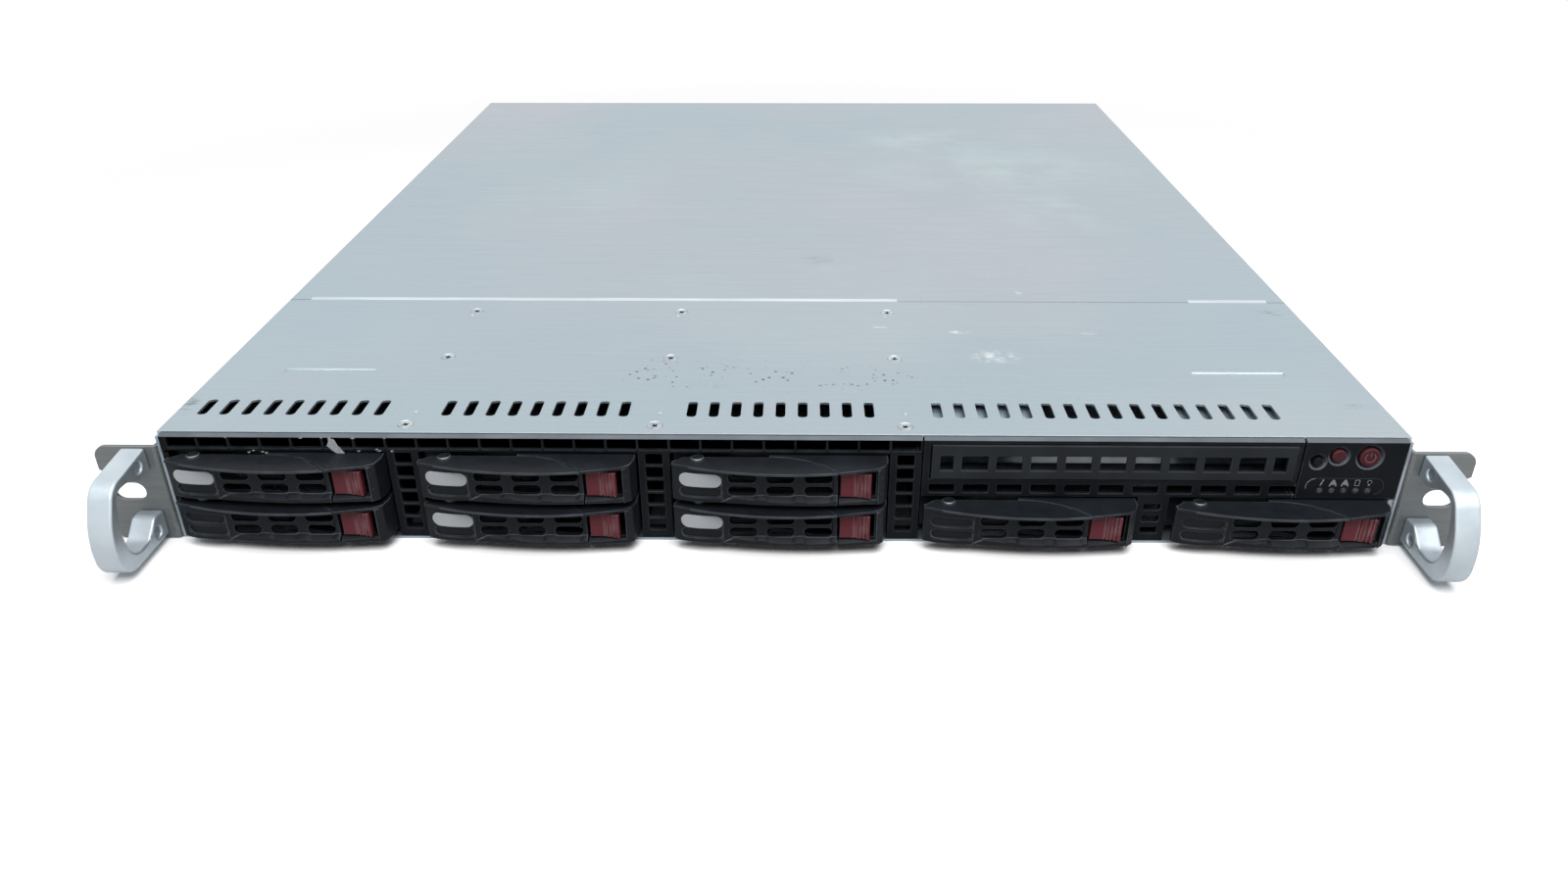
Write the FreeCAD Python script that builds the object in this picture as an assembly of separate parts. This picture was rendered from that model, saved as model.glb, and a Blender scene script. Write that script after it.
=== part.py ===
import FreeCAD, Part
import math
import os

Vector = FreeCAD.Vector
X = Vector(1, 0, 0)
Y = Vector(0, 1, 0)
Z = Vector(0, 0, 1)

# A 1U rack server with eight small drive carriers. While it is modelled, x runs across it from its middle,
# y runs back from the front plane of the black grille, and z runs up from the underside. Millimetres.

# Chassis
CHASSIS_WIDTH = 437.0
CHASSIS_HEIGHT = 43.0
CHASSIS_DEPTH = 503.0
SHEET = 1.0
SEAT = 0.1  # gap between pieces that are fixed together
CLEAR = 0.4  # gap between pieces that move past each other

# Front top panel and top cover
TOP_SETBACK = 2.0
SEAM = 124.3
VENT_PITCH = 8.0
VENT_WIDTH = 3.5
VENT_LENGTH = 12.0
VENT_ROW = 20.8
COLUMN_VENTS = 9
OPTICAL_VENTS = 16
STAMP_LENGTH = 35.0
STAMP_WIDTH = 5.0
STAMP_DEPTH = 0.5
STAMP_ROW = 53.5
STAMP_FROM_SIDE = 43.5
COVER_FLANGE = 8.0
HEM_DROP = 0.5
HEM_DEPTH = 1.6
HEM_ROUND = 0.6
HEM_FROM_SIDE = 8.0

# Drive bays
COLUMNS = 5
STACKED_COLUMNS = 3
COLUMN_PITCH = 88.4
BAY_WIDTH = 77.2
BAY_BASE = 4.0
BAY_PITCH = 17.0
BAY_TOP = 36.3
LOW_BAY_TOP = 19.4
LOW_WALL_DROP = 0.8
STACK = 2

# Front grille and the frame round the optical bay
GRILLE_DEPTH = 6.0
GRILLE_BEVEL = 1.0
GRILLE_SIDE_GAP = 0.1  # from the inside of the side wall
WINDOWS_PER_COLUMN = 8
TOP_WINDOW_Z = (37.8, 41.4)
GRILLE_BAR = 1.3
SIDE_WINDOW = (5.8, 3.6)
SIDE_WINDOW_PITCH = 5.4
SIDE_WINDOW_FIRST = 6.6
SIDE_WINDOWS = 6
LOW_WINDOW = (6.0, 2.6)
LOW_WINDOW_PITCH = 4.9
LOW_WINDOW_FIRST = 5.5
LOW_WINDOWS = 3
STRIP_SLOT = (8.8, 3.4)
STRIP_SLOT_Z = 22.5
STRIP_SLOT_PITCH = 12.1
STRIP_SLOTS = 10
OPTICAL_POST = 2.6

# Optical bay blank
BLANK_WIDTH = 126.6
BLANK_Z = (26.8, 40.2)
BLANK_PROUD = 0.6
BLANK_DEPTH = 9.0
BLANK_WALL = 1.4
BLANK_WINDOWS = 9
BLANK_WINDOW = (9.1, 5.8)
BLANK_END_WINDOW = 4.6
BLANK_WINDOW_Z = 33.0
BLANK_WINDOW_PITCH = 12.05

# Control panel, buttons and light pipes
PANEL_DEPTH = 10.0
PANEL_WALL = 2.0
PANEL_GAP = 0.6
BUTTON_PROUD = 0.4
BUTTON_GAP = 0.3
BUTTON_FLANGE = 1.2
BUTTON_RIM = 0.7
BUTTON_BODY = 5.4
BUTTONS = {
    "power_button": {"from_side": 13.6, "z": 36.0, "radius": 3.5},
    "reset_button": {"from_side": 24.3, "z": 36.4, "radius": 2.4},
    "id_button": {"from_side": 31.1, "z": 34.1, "radius": 1.8},
}
LIGHT_PIPES = 5
LIGHT_PITCH = 4.2
LIGHT_RADIUS = 0.8
LIGHT_FROM_SIDE = 19.9
LIGHT_Z = 22.7
PANEL_BOARD = 1.6

# Drive carriers
CARRIER_WIDTH = 75.6
CARRIER_FLOOR = 0.2
CARRIER_TOP = 14.6
CARRIER_WALL = 1.8
CARRIER_ROOF = 1.0
BOW_RADIUS = 116.0
BOW_REACH = 13.3
BOW_CENTRE = 3.0
BOW_LEAST = 2.0
LEVER_LEFT = -37.4
PARTING_X = 20.3
PARTING_MIDDLE = (10.6, -4.7)
PARTING_BACK = (-4.0, -1.2)
LEVER_CORNER = 3.0
FACE_Y = -8.2  # the flat of the face behind the roof's bow
FACE_TURNS = ((LEVER_LEFT, -5.4), (-30.0, -7.9), (-20.0, FACE_Y))
FACE_ROOFED = 14.0  # how far across the lever's own roof covers its face
LIP_LEVER = ((-20.0, FACE_Y), (-12.0, -9.3), (-2.0, -10.0), (8.0, -10.3), (PARTING_X, -9.8))
LIP_END = ((PARTING_X + CLEAR, -9.8), (28.0, -9.2), (33.8, -8.7))
LIP_TOP = 3.0
LIP_SLOPE = 0.7
PIN_X = -28.6
PIN_Y = -2.4
PIN_RADIUS = 2.2
PIN_PROUD = 0.5
LUG_HALF = 3.6
LUG_NOSE = 2.9
LUG_Z = (4.0, 11.4)
LEVER_WINDOW = 9.8
LEVER_WINDOW_COLUMNS = 3
LEVER_WINDOW_PITCH = 13.25
LEVER_WINDOW_MIDDLE = 0.4
LEVER_ROWS = ((4.9, 3.6), (10.0, 3.6))
POCKET = (14.7, 3.8)
POCKET_X = -27.6
POCKET_ZS = (3.9, 9.0)
POCKET_DEPTH = 0.8
LATCH_WIDTH = 10.8
LATCH_Z = (2.6, 12.4)
LATCH_TRAVEL = 1.8
LATCH_FLARE = (-7.9, -9.6)  # the finger piece's front, at its left and its right
LATCH_BACK = -6.3
LATCH_GROOVES = 4
LATCH_GROOVE = (0.7, 1.4)
LATCH_GROOVE_DEPTH = 0.5
LATCH_SLIDER_Y = (-6.0, -4.0)
END_CORNER = 4.4
END_CORNER_DEPTH = 5.7
END_CORNER_MIDDLE = (1.2, 2.0)
CROSS_WALL = (4.2, 6.2)
RAIL = 2.4
RAIL_LENGTH = 104.0
RAIL_FOOT = 1.0
RAIL_TOP = 13.8
RAIL_SLOT = (60.0, 5.0)
BRACE = (8.0, 1.0)
BRACE_Y = 78.0

# Drives, to the 2.5 inch outline
DRIVE_WIDTH = 69.85
DRIVE_LENGTH = 100.2
DRIVE_HEIGHT = 9.5
DRIVE_FRONT = 8.6
DRIVE_FOOT = 2.3
DRIVE_SOCKET = (43.0, 4.6, 4.8)
DRIVE_SOCKET_X = -6.0

# Drive cage and backplane
CAGE_WALL_FROM_BAY = 0.2
LEDGE_GAP = 0.3
BACKPLANE_FRONT = 114.0
BOARD = 1.6
BACKPLANE_FLOOR = 3.0
BACKPLANE_VENT = (64.0, 4.0)

# Rack ears and handles
EAR_REACH = 22.8
EAR_SHEET = 1.5
EAR_FRONT = -1.0
EAR_TOP = 38.0
EAR_FOOT = 1.0
EAR_CORNER = 4.5
EAR_FLANGE = 34.0
EAR_NOTCH_Z = 26.8
EAR_NOTCH = 3.5
EAR_NOTCH_HALF = 2.1
EAR_NOTCH_ROUND = 1.0
EAR_FOLD = 2.0
RACK_SLOT = (11.5, 7.0)
RACK_SLOT_FROM_EDGE = 8.75
RACK_SLOT_Z = 20.0
HANDLE_FROM_SIDE = 5.5
HANDLE_THICK = 7.2
# A handle's loop seen from the side: y from its back face, z, and the radius at that corner
HANDLE_OUTLINE = (
    (0.0, 37.6, 0.0),
    (-25.5, 34.0, 9.0),
    (-32.3, 17.5, 30.0),
    (-29.0, 0.2, 10.0),
    (0.0, 0.2, 0.0),
    (0.0, 12.3, 0.0),
    (-7.2, 12.0, 4.0),
    (-13.0, 5.6, 5.0),
    (-22.4, 5.6, 5.0),
    (-25.6, 17.5, 25.0),
    (-21.6, 30.2, 5.0),
    (-3.2, 28.0, 3.0),
    (0.0, 31.4, 0.0),
)
HANDLE_HOLES = ((-5.3, 33.4), (-4.2, 4.4))
HANDLE_HOLE = 2.1
HANDLE_HOLE_DEPTH = 4.0

# Fans
FANS = 3
FAN_SIZE = 40.0
FAN_DEPTH = 28.0
FAN_FRONT = 150.0
FAN_WALL = 1.2  # at the thinnest place, beside the duct
FAN_TIP_GAP = 0.6
FAN_HUB = 10.5
FAN_HUB_LENGTH = 20.0
FAN_BLADES = 5
BLADE_CHORD = 15.0
BLADE_THICK = 1.0
BLADE_PITCH = 38.0
SPOKE = 2.6
MOTOR_DEPTH = 4.0
SHAFT_RADIUS = 1.5
SHAFT_SHORT = 1.0
FAN_CORNER = 4.0

# Motherboard and what it carries
BOARD_WIDTH = 304.0
BOARD_LENGTH = 244.0
BOARD_UNDER = 7.5
BOARD_FROM_SIDE = 8.5
BOARD_FROM_REAR = 7.0
STANDOFF = 3.0
STANDOFF_INSET = 8.0
STANDOFF_FROM_REAR = 30.0
STANDOFF_ROWS = 3
SOCKET_SIZE = 60.0
SOCKET_HEIGHT = 4.0
SOCKET_FROM_SIDE = 130.0
SOCKET_FROM_REAR = 150.0
SINK_SIZE = 90.0
SINK_BASE = 4.0
SINK_TOP = 39.0
SINK_FINS = 13
SINK_FIN = 1.2
MEMORY_COUNT = 4
MEMORY_PITCH = 10.0
MEMORY_LENGTH = 133.35
MEMORY_BOARD = 1.3
MEMORY_HEIGHT = 28.0
MEMORY_CHIPS = 1.0
MEMORY_SOCKET = (6.4, 142.0, 6.0)
MEMORY_FROM_SOCKET = 62.0
MEMORY_SEAT = 1.0
MEMORY_MARGIN = 4.0

# Rear connectors, named from the left side: offset from the side, width, height
PORT_DEPTH = 19.0
PORT_PROUD = 0.8
PORTS = {
    "serial": (26.0, 31.0, 12.5),
    "stack": (54.0, 17.0, 29.0),
    "left_network": (75.0, 16.0, 13.6),
    "right_network": (95.0, 16.0, 13.6),
    "video": (124.0, 31.0, 12.5),
}
PORT_SHELL = (17.0, 8.4)
PORT_SHELL_PROUD = 5.2
PORT_SHELL_CORNER = 2.0
JACK_MOUTH = (11.8, 7.4, 12.0)
USB_MOUTH = (13.2, 5.4, 8.0)
USB_TONGUE = (11.2, 1.8)
USB_TONGUE_SET_IN = 1.0
USB_SOCKETS = 2
JACK_MARGIN = 2.2

# Expansion slot cover
SLOT_WIDTH = 112.0
SLOT_HEIGHT = 13.0
SLOT_X = 16.0
SLOT_Z = 30.0
SLOT_COVER = (119.0, 18.4, 0.9)
SLOT_COVER_TAB = 11.0

# Power supply
SUPPLY_WIDTH = 101.0
SUPPLY_LENGTH = 212.0
SUPPLY_TOP = 40.9
SUPPLY_FROM_SIDE = 3.0
INLET = (27.5, 20.5)
INLET_MOUTH = (24.2, 16.4, 16.0)
INLET_CORNER = 2.5
INLET_FROM_SIDE = 24.0
INLET_Z = 21.0
INLET_PIN = (2.0, 4.0, 14.0)
INLET_PINS = ((-7.0, -2.0), (0.0, 2.4), (7.0, -2.0))
SUPPLY_FAN_FROM_SIDE = 74.0
SUPPLY_FAN_Z = 21.0
SUPPLY_FAN_WELL = 26.0
SUPPLY_SLOTS = 6
SUPPLY_SLOT = (3.2, 30.0)
SUPPLY_SLOT_PITCH = 5.4
REAR_VENTS = 7
REAR_VENT = (6.0, 10.0)
REAR_VENT_PITCH = 10.0
REAR_VENT_Z = 11.0

# Internal cables
RIBBON_WIDTH = 20.0
RIBBON_THICK = 2.4
RIBBON_BEND = 8.0
RIBBON_FROM_SIDE = 34.0
PLUG = (26.0, 8.0, 7.0)
RIBBON_Z = 30.0
HARNESS_THICK = 7.0
HARNESS_HEIGHT = 10.0
HARNESS_BEND = 12.0
HARNESS_RUN = 26.0

# Small rounds that repeat are made of flats
HOLE_FLATS = 6
ROUND_FLATS = 16
HUB_FLATS = 8
PIN_FLATS = 12
PARTING_FLATS = 4
END_CORNER_FLATS = 2
ARC_FLAT = 24.0  # degrees

LEFT = -1
RIGHT = 1
HALF_WIDTH = CHASSIS_WIDTH / 2
INNER_HALF = HALF_WIDTH - SHEET
TOP_UNDER = CHASSIS_HEIGHT - SHEET
WALL_TOP = TOP_UNDER - SEAT
FRONT_TOP = CHASSIS_HEIGHT - 2 * SEAT
REAR_FACE = CHASSIS_DEPTH - SHEET
CAGE_FRONT = GRILLE_DEPTH + CLEAR
CAGE_REAR = BACKPLANE_FRONT - CLEAR
LOW_TOP = LOW_BAY_TOP - LOW_WALL_DROP
GRILLE_END = INNER_HALF - GRILLE_SIDE_GAP
BOARD_TOP = BOARD_UNDER + BOARD
FAN_CENTRE_Z = SHEET + SEAT + FAN_SIZE / 2
FAN_BORE = FAN_SIZE / 2 - FAN_WALL


def block(x, y, z):
    """A box between a (low, high) pair along each axis."""
    return Part.makeBox(x[1] - x[0], y[1] - y[0], z[1] - z[0], Vector(x[0], y[0], z[0]))


def span(centre, size):
    """The (low, high) pair of a size about its centre."""
    return (centre - size / 2, centre + size / 2)


def ordered(one, other):
    """The (low, high) pair of two places."""
    return (min(one, other), max(one, other))


def rod(radius, start, end):
    """A round bar between two points."""
    along = end - start
    return Part.makeCylinder(radius, along.Length, start, along)


def prism(outline, sweep):
    """A closed outline of points, swept along a vector."""
    return Part.Face(Part.makePolygon(outline + outline[:1])).extrude(sweep)


def flat_rod(radius, flats, start, end):
    """A bar of even flats between two points along an axis. Its flats touch a circle."""
    along = end - start
    across = X if abs(along.x) < along.Length / 2 else Z
    up = along.cross(across).normalize()
    corner = radius / math.cos(math.pi / flats)
    points = []
    for i in range(flats):
        angle = 2 * math.pi * (i + 0.5) / flats
        points.append(start + across * (corner * math.cos(angle)) + up * (corner * math.sin(angle)))
    return prism(points, along)


def turning_rod(radius, start, end):
    """A pin or shaft of even flats whose corners touch a circle, so that it clears the hole it turns in."""
    return flat_rod(radius * math.cos(math.pi / PIN_FLATS), PIN_FLATS, start, end)


def join(shapes):
    """One solid from shapes that touch or cross."""
    return shapes[0].fuse(shapes[1:]).removeSplitter()


def carve(shape, tools):
    """A shape with every tool cut out of it."""
    return shape.cut(tools).removeSplitter()


def front_window(x, z, size, cut, y):
    """A rectangular bar from front to back, with its corners cut off."""
    across, up = size[0] / 2, size[1] / 2
    pairs = []
    for side, end in ((1, 1), (-1, 1), (-1, -1), (1, -1)):
        corner = [(side * across, end * (up - cut)), (side * (across - cut), end * up)]
        pairs += corner if side == end else corner[::-1]
    return prism([Vector(x + a, y[0], z + b) for a, b in pairs], Y * (y[1] - y[0]))


def rounded_outline(corners, radii):
    """An outline whose corners are arcs that run on from its straight sides, each arc cut in even flats."""
    points = []
    count = len(corners)
    for i in range(count):
        corner = corners[i]
        before = (corners[i - 1] - corner).normalize()
        after = (corners[(i + 1) % count] - corner).normalize()
        if radii[i] == 0:
            points.append(corner)
            continue
        half = before.getAngle(after) / 2
        reach = radii[i] / math.tan(half)
        inward = (before + after).normalize()
        centre = corner + inward * (radii[i] / math.sin(half))
        arc = Part.Arc(corner + before * reach, centre - inward * radii[i], corner + after * reach)
        turn = 180 - math.degrees(2 * half)
        flats = math.ceil(turn / ARC_FLAT)
        points += arc.discretize(flats + 1)
    return points


def spread(count, pitch, centre=0.0):
    """Places of a row of equal pieces about its centre."""
    return [centre + (i - (count - 1) / 2) * pitch for i in range(count)]


def bay_rows(column):
    """How many bays a column has."""
    return STACK if column < STACKED_COLUMNS else 1


COLUMN_XS = spread(COLUMNS, COLUMN_PITCH)
DIVIDER_XS = [x + COLUMN_PITCH / 2 for x in COLUMN_XS[:-1]]
GRILLE_RIGHT = COLUMN_XS[STACKED_COLUMNS] - BAY_WIDTH / 2
FRAME_LEFT = GRILLE_RIGHT + CLEAR
BLANK_LEFT = FRAME_LEFT + OPTICAL_POST + CLEAR
BLANK_CENTRE = BLANK_LEFT + BLANK_WIDTH / 2
FRAME_RIGHT = BLANK_LEFT + BLANK_WIDTH + CLEAR + GRILLE_BAR
PANEL_LEFT = FRAME_RIGHT + PANEL_GAP
SUPPLY_RIGHT = HALF_WIDTH - SUPPLY_FROM_SIDE
SUPPLY_LEFT = SUPPLY_RIGHT - SUPPLY_WIDTH
SUPPLY_REAR = REAR_FACE - SEAT
SUPPLY_FAN_X = HALF_WIDTH - SUPPLY_FAN_FROM_SIDE
INLET_X = HALF_WIDTH - INLET_FROM_SIDE
BOARD_LEFT = BOARD_FROM_SIDE - HALF_WIDTH
BOARD_REAR = CHASSIS_DEPTH - BOARD_FROM_REAR
BOARD_FRONT = BOARD_REAR - BOARD_LENGTH
SOCKET_X = SOCKET_FROM_SIDE - HALF_WIDTH
SOCKET_Y = CHASSIS_DEPTH - SOCKET_FROM_REAR
MEMORY_X = SOCKET_X + MEMORY_FROM_SOCKET + MEMORY_COUNT * MEMORY_PITCH / 2
MEMORY_XS = spread(MEMORY_COUNT, MEMORY_PITCH, MEMORY_X)
FAN_XS = DIVIDER_XS[:FANS]
LEVER_WINDOW_XS = spread(LEVER_WINDOW_COLUMNS, LEVER_WINDOW_PITCH, LEVER_WINDOW_MIDDLE)
BOW_JOINTS = spread(LEVER_WINDOW_COLUMNS + 1, LEVER_WINDOW_PITCH, LEVER_WINDOW_MIDDLE)


def port_spans(name):
    """Where a rear connector sits across and up."""
    from_side, width, height = PORTS[name]
    return span(from_side - HALF_WIDTH, width), (BOARD_TOP, BOARD_TOP + height)


def chassis_tray():
    """Floor, side walls and rear wall, with the rear cut-outs and the board's standoffs."""
    across = (-HALF_WIDTH, HALF_WIDTH)
    depth = (0, CHASSIS_DEPTH)
    floor = block(across, depth, (0, SHEET))
    left_wall = block((-HALF_WIDTH, -INNER_HALF), depth, (0, WALL_TOP))
    right_wall = block((INNER_HALF, HALF_WIDTH), depth, (0, WALL_TOP))
    rear_wall = block(across, (REAR_FACE, CHASSIS_DEPTH), (0, WALL_TOP))
    standoffs = []
    for x in spread(STANDOFF_ROWS, BOARD_WIDTH / 2 - STANDOFF_INSET, BOARD_LEFT + BOARD_WIDTH / 2):
        for y in (BOARD_FRONT + STANDOFF_INSET, BOARD_REAR - STANDOFF_FROM_REAR):
            foot = Vector(x, y, SHEET)
            standoffs.append(flat_rod(STANDOFF, HOLE_FLATS, foot, foot + Z * (BOARD_UNDER - SEAT - SHEET)))
    tray = join([floor, left_wall, right_wall, rear_wall] + standoffs)

    through = (REAR_FACE - 1, CHASSIS_DEPTH + 1)
    cuts = []
    for name in PORTS:
        x, z = port_spans(name)
        cuts.append(block((x[0] - CLEAR, x[1] + CLEAR), through, (z[0] - CLEAR, z[1] + CLEAR)))
    cuts.append(block(span(SLOT_X, SLOT_WIDTH), through, span(SLOT_Z, SLOT_HEIGHT)))
    cuts.append(block(span(INLET_X, INLET[0] + 2 * CLEAR), through, span(INLET_Z, INLET[1] + 2 * CLEAR)))
    for x in spread(SUPPLY_SLOTS, SUPPLY_SLOT_PITCH, SUPPLY_FAN_X):
        cuts.append(block(span(x, SUPPLY_SLOT[0]), through, span(SUPPLY_FAN_Z, SUPPLY_SLOT[1])))
    for x in spread(REAR_VENTS, REAR_VENT_PITCH, SLOT_X):
        cuts.append(block(span(x, REAR_VENT[0]), through, span(REAR_VENT_Z, REAR_VENT[1])))
    for side in (LEFT, RIGHT):
        notch = ordered(side * INNER_HALF, side * (INNER_HALF - SHEET - 2 * CLEAR))
        cuts.append(block(notch, through, (WALL_TOP - COVER_FLANGE - CLEAR, CHASSIS_HEIGHT)))
    return carve(tray, cuts)


def front_top_panel():
    """The fixed sheet over the drive bays, with its vents and two stamped marks."""
    sheet = block((-HALF_WIDTH, HALF_WIDTH), (TOP_SETBACK, SEAM), (TOP_UNDER, CHASSIS_HEIGHT))
    through = (TOP_UNDER - 1, CHASSIS_HEIGHT + 1)
    xs = spread(OPTICAL_VENTS, VENT_PITCH, BLANK_CENTRE)
    for column in range(STACKED_COLUMNS):
        xs += spread(COLUMN_VENTS, VENT_PITCH, COLUMN_XS[column])
    cuts = [block(span(x, VENT_WIDTH), span(VENT_ROW, VENT_LENGTH), through) for x in xs]
    for side in (LEFT, RIGHT):
        x = span(side * (HALF_WIDTH - STAMP_FROM_SIDE), STAMP_LENGTH)
        slope = [
            Vector(x[0], STAMP_ROW - STAMP_WIDTH, CHASSIS_HEIGHT),
            Vector(x[0], STAMP_ROW, CHASSIS_HEIGHT - STAMP_DEPTH),
            Vector(x[0], STAMP_ROW, CHASSIS_HEIGHT),
        ]
        cuts.append(prism(slope, X * STAMP_LENGTH))
    return carve(sheet, cuts)


def top_cover():
    """The removable sheet behind the seam, with side flanges inside the walls and a rounded hem."""
    front = SEAM + CLEAR
    sheet = block((-HALF_WIDTH, HALF_WIDTH), (front + HEM_DEPTH, CHASSIS_DEPTH), (TOP_UNDER, CHASSIS_HEIGHT))
    hem_corners = [
        Vector(-HALF_WIDTH, front, TOP_UNDER),
        Vector(-HALF_WIDTH, front, CHASSIS_HEIGHT),
        Vector(-HALF_WIDTH, front + HEM_DEPTH, CHASSIS_HEIGHT),
        Vector(-HALF_WIDTH, front + HEM_DEPTH, TOP_UNDER),
    ]
    hem = prism(rounded_outline(hem_corners, [0, HEM_ROUND, 0, 0]), X * CHASSIS_WIDTH)
    pieces = [sheet, hem]
    fold = (front + 2 * CLEAR, front + HEM_DEPTH)
    folded = (TOP_UNDER - HEM_DROP, CHASSIS_HEIGHT - SHEET / 2)
    pieces.append(block((HEM_FROM_SIDE - HALF_WIDTH, GRILLE_RIGHT), fold, folded))
    pieces.append(block((PANEL_LEFT, HALF_WIDTH - HEM_FROM_SIDE), fold, folded))
    for side in (LEFT, RIGHT):
        flange = ordered(side * (INNER_HALF - CLEAR), side * (INNER_HALF - CLEAR - SHEET))
        flange_z = (TOP_UNDER - COVER_FLANGE, TOP_UNDER)
        pieces.append(block(flange, (front + HEM_DEPTH, CHASSIS_DEPTH), flange_z))
    return join(pieces)


def front_bar(x, floor):
    """A length of the black front moulding: its section, with a bevel along the top, swept across."""
    section = [
        Vector(x[0], 0, floor),
        Vector(x[0], GRILLE_DEPTH, floor),
        Vector(x[0], GRILLE_DEPTH, FRONT_TOP - SHEET - SEAT),
        Vector(x[0], TOP_SETBACK - CLEAR, FRONT_TOP - SHEET - SEAT),
        Vector(x[0], TOP_SETBACK - CLEAR, FRONT_TOP),
        Vector(x[0], 0, FRONT_TOP - GRILLE_BEVEL),
    ]
    return prism(section, X * (x[1] - x[0]))


def front_grille():
    """The grille over the stacked columns, and the frame round the optical bay."""
    through = (-1, GRILLE_DEPTH + 1)
    foot = SHEET + SEAT
    grille = front_bar((-GRILLE_END, GRILLE_RIGHT), foot)
    cuts = []
    for column in range(STACKED_COLUMNS):
        left = COLUMN_XS[column] - BAY_WIDTH / 2
        if column == 0:
            left = -HALF_WIDTH
        cuts.append(block((left, COLUMN_XS[column] + BAY_WIDTH / 2), through, (0, BAY_TOP)))
        for row in range(SIDE_WINDOWS):
            z = SIDE_WINDOW_FIRST + row * SIDE_WINDOW_PITCH
            cuts.append(block(span(DIVIDER_XS[column], SIDE_WINDOW[0]), through, span(z, SIDE_WINDOW[1])))
    window_pitch = COLUMN_PITCH / WINDOWS_PER_COLUMN
    first = COLUMN_XS[0] - (WINDOWS_PER_COLUMN - 2) * window_pitch / 2
    for i in range(STACKED_COLUMNS * WINDOWS_PER_COLUMN):
        cuts.append(block(span(first + i * window_pitch, window_pitch - GRILLE_BAR), through, TOP_WINDOW_Z))
    grille = carve(grille, cuts)

    frame = front_bar((FRAME_LEFT, FRAME_RIGHT), foot)
    opening = (BLANK_LEFT - CLEAR, BLANK_LEFT + BLANK_WIDTH + CLEAR)
    cuts = [block(opening, through, (BLANK_Z[0] - CLEAR, BLANK_Z[1] + CLEAR))]
    for column in range(STACKED_COLUMNS, COLUMNS):
        cuts.append(block(span(COLUMN_XS[column], BAY_WIDTH), through, (0, LOW_BAY_TOP)))
    for row in range(LOW_WINDOWS):
        z = LOW_WINDOW_FIRST + row * LOW_WINDOW_PITCH
        cuts.append(block(span(DIVIDER_XS[-1], LOW_WINDOW[0]), through, span(z, LOW_WINDOW[1])))
    for x in spread(STRIP_SLOTS, STRIP_SLOT_PITCH, (FRAME_LEFT + FRAME_RIGHT) / 2):
        cuts.append(block(span(x, STRIP_SLOT[0]), through, span(STRIP_SLOT_Z, STRIP_SLOT[1])))
    frame = carve(frame, cuts)
    return Part.makeCompound([grille, frame])


def optical_bay_blank():
    """The cover of the unused optical bay: a shallow box with a row of windows in its face."""
    x = (BLANK_LEFT, BLANK_LEFT + BLANK_WIDTH)
    shell = block(x, (-BLANK_PROUD, BLANK_DEPTH), BLANK_Z)
    inside = block(
        (x[0] + BLANK_WALL, x[1] - BLANK_WALL),
        (BLANK_WALL - BLANK_PROUD, BLANK_DEPTH + 1),
        (BLANK_Z[0] + BLANK_WALL, BLANK_Z[1] - BLANK_WALL),
    )
    cuts = [inside]
    through = (-BLANK_PROUD - 1, BLANK_WALL)
    for place in spread(BLANK_WINDOWS, BLANK_WINDOW_PITCH, BLANK_CENTRE):
        cuts.append(block(span(place, BLANK_WINDOW[0]), through, span(BLANK_WINDOW_Z, BLANK_WINDOW[1])))
    bar = BLANK_WINDOW_PITCH - BLANK_WINDOW[0]
    end_offset = (BLANK_WINDOWS * BLANK_WINDOW_PITCH + bar + BLANK_END_WINDOW) / 2
    for side in (LEFT, RIGHT):
        place = BLANK_CENTRE + side * end_offset
        cuts.append(block(span(place, BLANK_END_WINDOW), through, span(BLANK_WINDOW_Z, BLANK_WINDOW[1])))
    return carve(shell, cuts)


def button_place(name, y):
    """A point on a button's axis."""
    return Vector(HALF_WIDTH - BUTTONS[name]["from_side"], y, BUTTONS[name]["z"])


def button_square(name, half, y):
    """A square bar about a button's axis."""
    place = button_place(name, 0)
    return block(span(place.x, 2 * half), y, span(place.z, 2 * half))


def light_places():
    """Where the light pipes sit across."""
    return spread(LIGHT_PIPES, LIGHT_PITCH, HALF_WIDTH - LIGHT_FROM_SIDE)


def light_bar(x, radius, y):
    """A bar along a light pipe's axis."""
    return flat_rod(radius, HOLE_FLATS, Vector(x, y[0], LIGHT_Z), Vector(x, y[1], LIGHT_Z))


def control_panel():
    """The black block that holds the buttons, with stepped bores open at the back, and its circuit board."""
    housing = front_bar((PANEL_LEFT, GRILLE_END), LOW_BAY_TOP)
    back = block(
        (PANEL_LEFT, GRILLE_END), (GRILLE_DEPTH - CLEAR, PANEL_DEPTH), (LOW_BAY_TOP, FRONT_TOP - SHEET - SEAT)
    )
    cuts = []
    for name in BUTTONS:
        bore = BUTTONS[name]["radius"] + BUTTON_GAP
        cuts.append(flat_rod(bore, ROUND_FLATS, button_place(name, -1), button_place(name, PANEL_WALL + 1)))
        cuts.append(button_square(name, bore + BUTTON_RIM, (PANEL_WALL, PANEL_DEPTH + 1)))
    for x in light_places():
        cuts.append(light_bar(x, LIGHT_RADIUS + SEAT, (-1, PANEL_DEPTH + 1)))
    housing = carve(join([housing, back]), cuts)
    board = block(
        (PANEL_LEFT + PANEL_WALL, GRILLE_END - PANEL_WALL),
        (PANEL_DEPTH + SEAT, PANEL_DEPTH + SEAT + PANEL_BOARD),
        (LOW_BAY_TOP + PANEL_WALL / 2, FRONT_TOP - PANEL_WALL),
    )
    return Part.makeCompound([housing, board])


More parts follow.
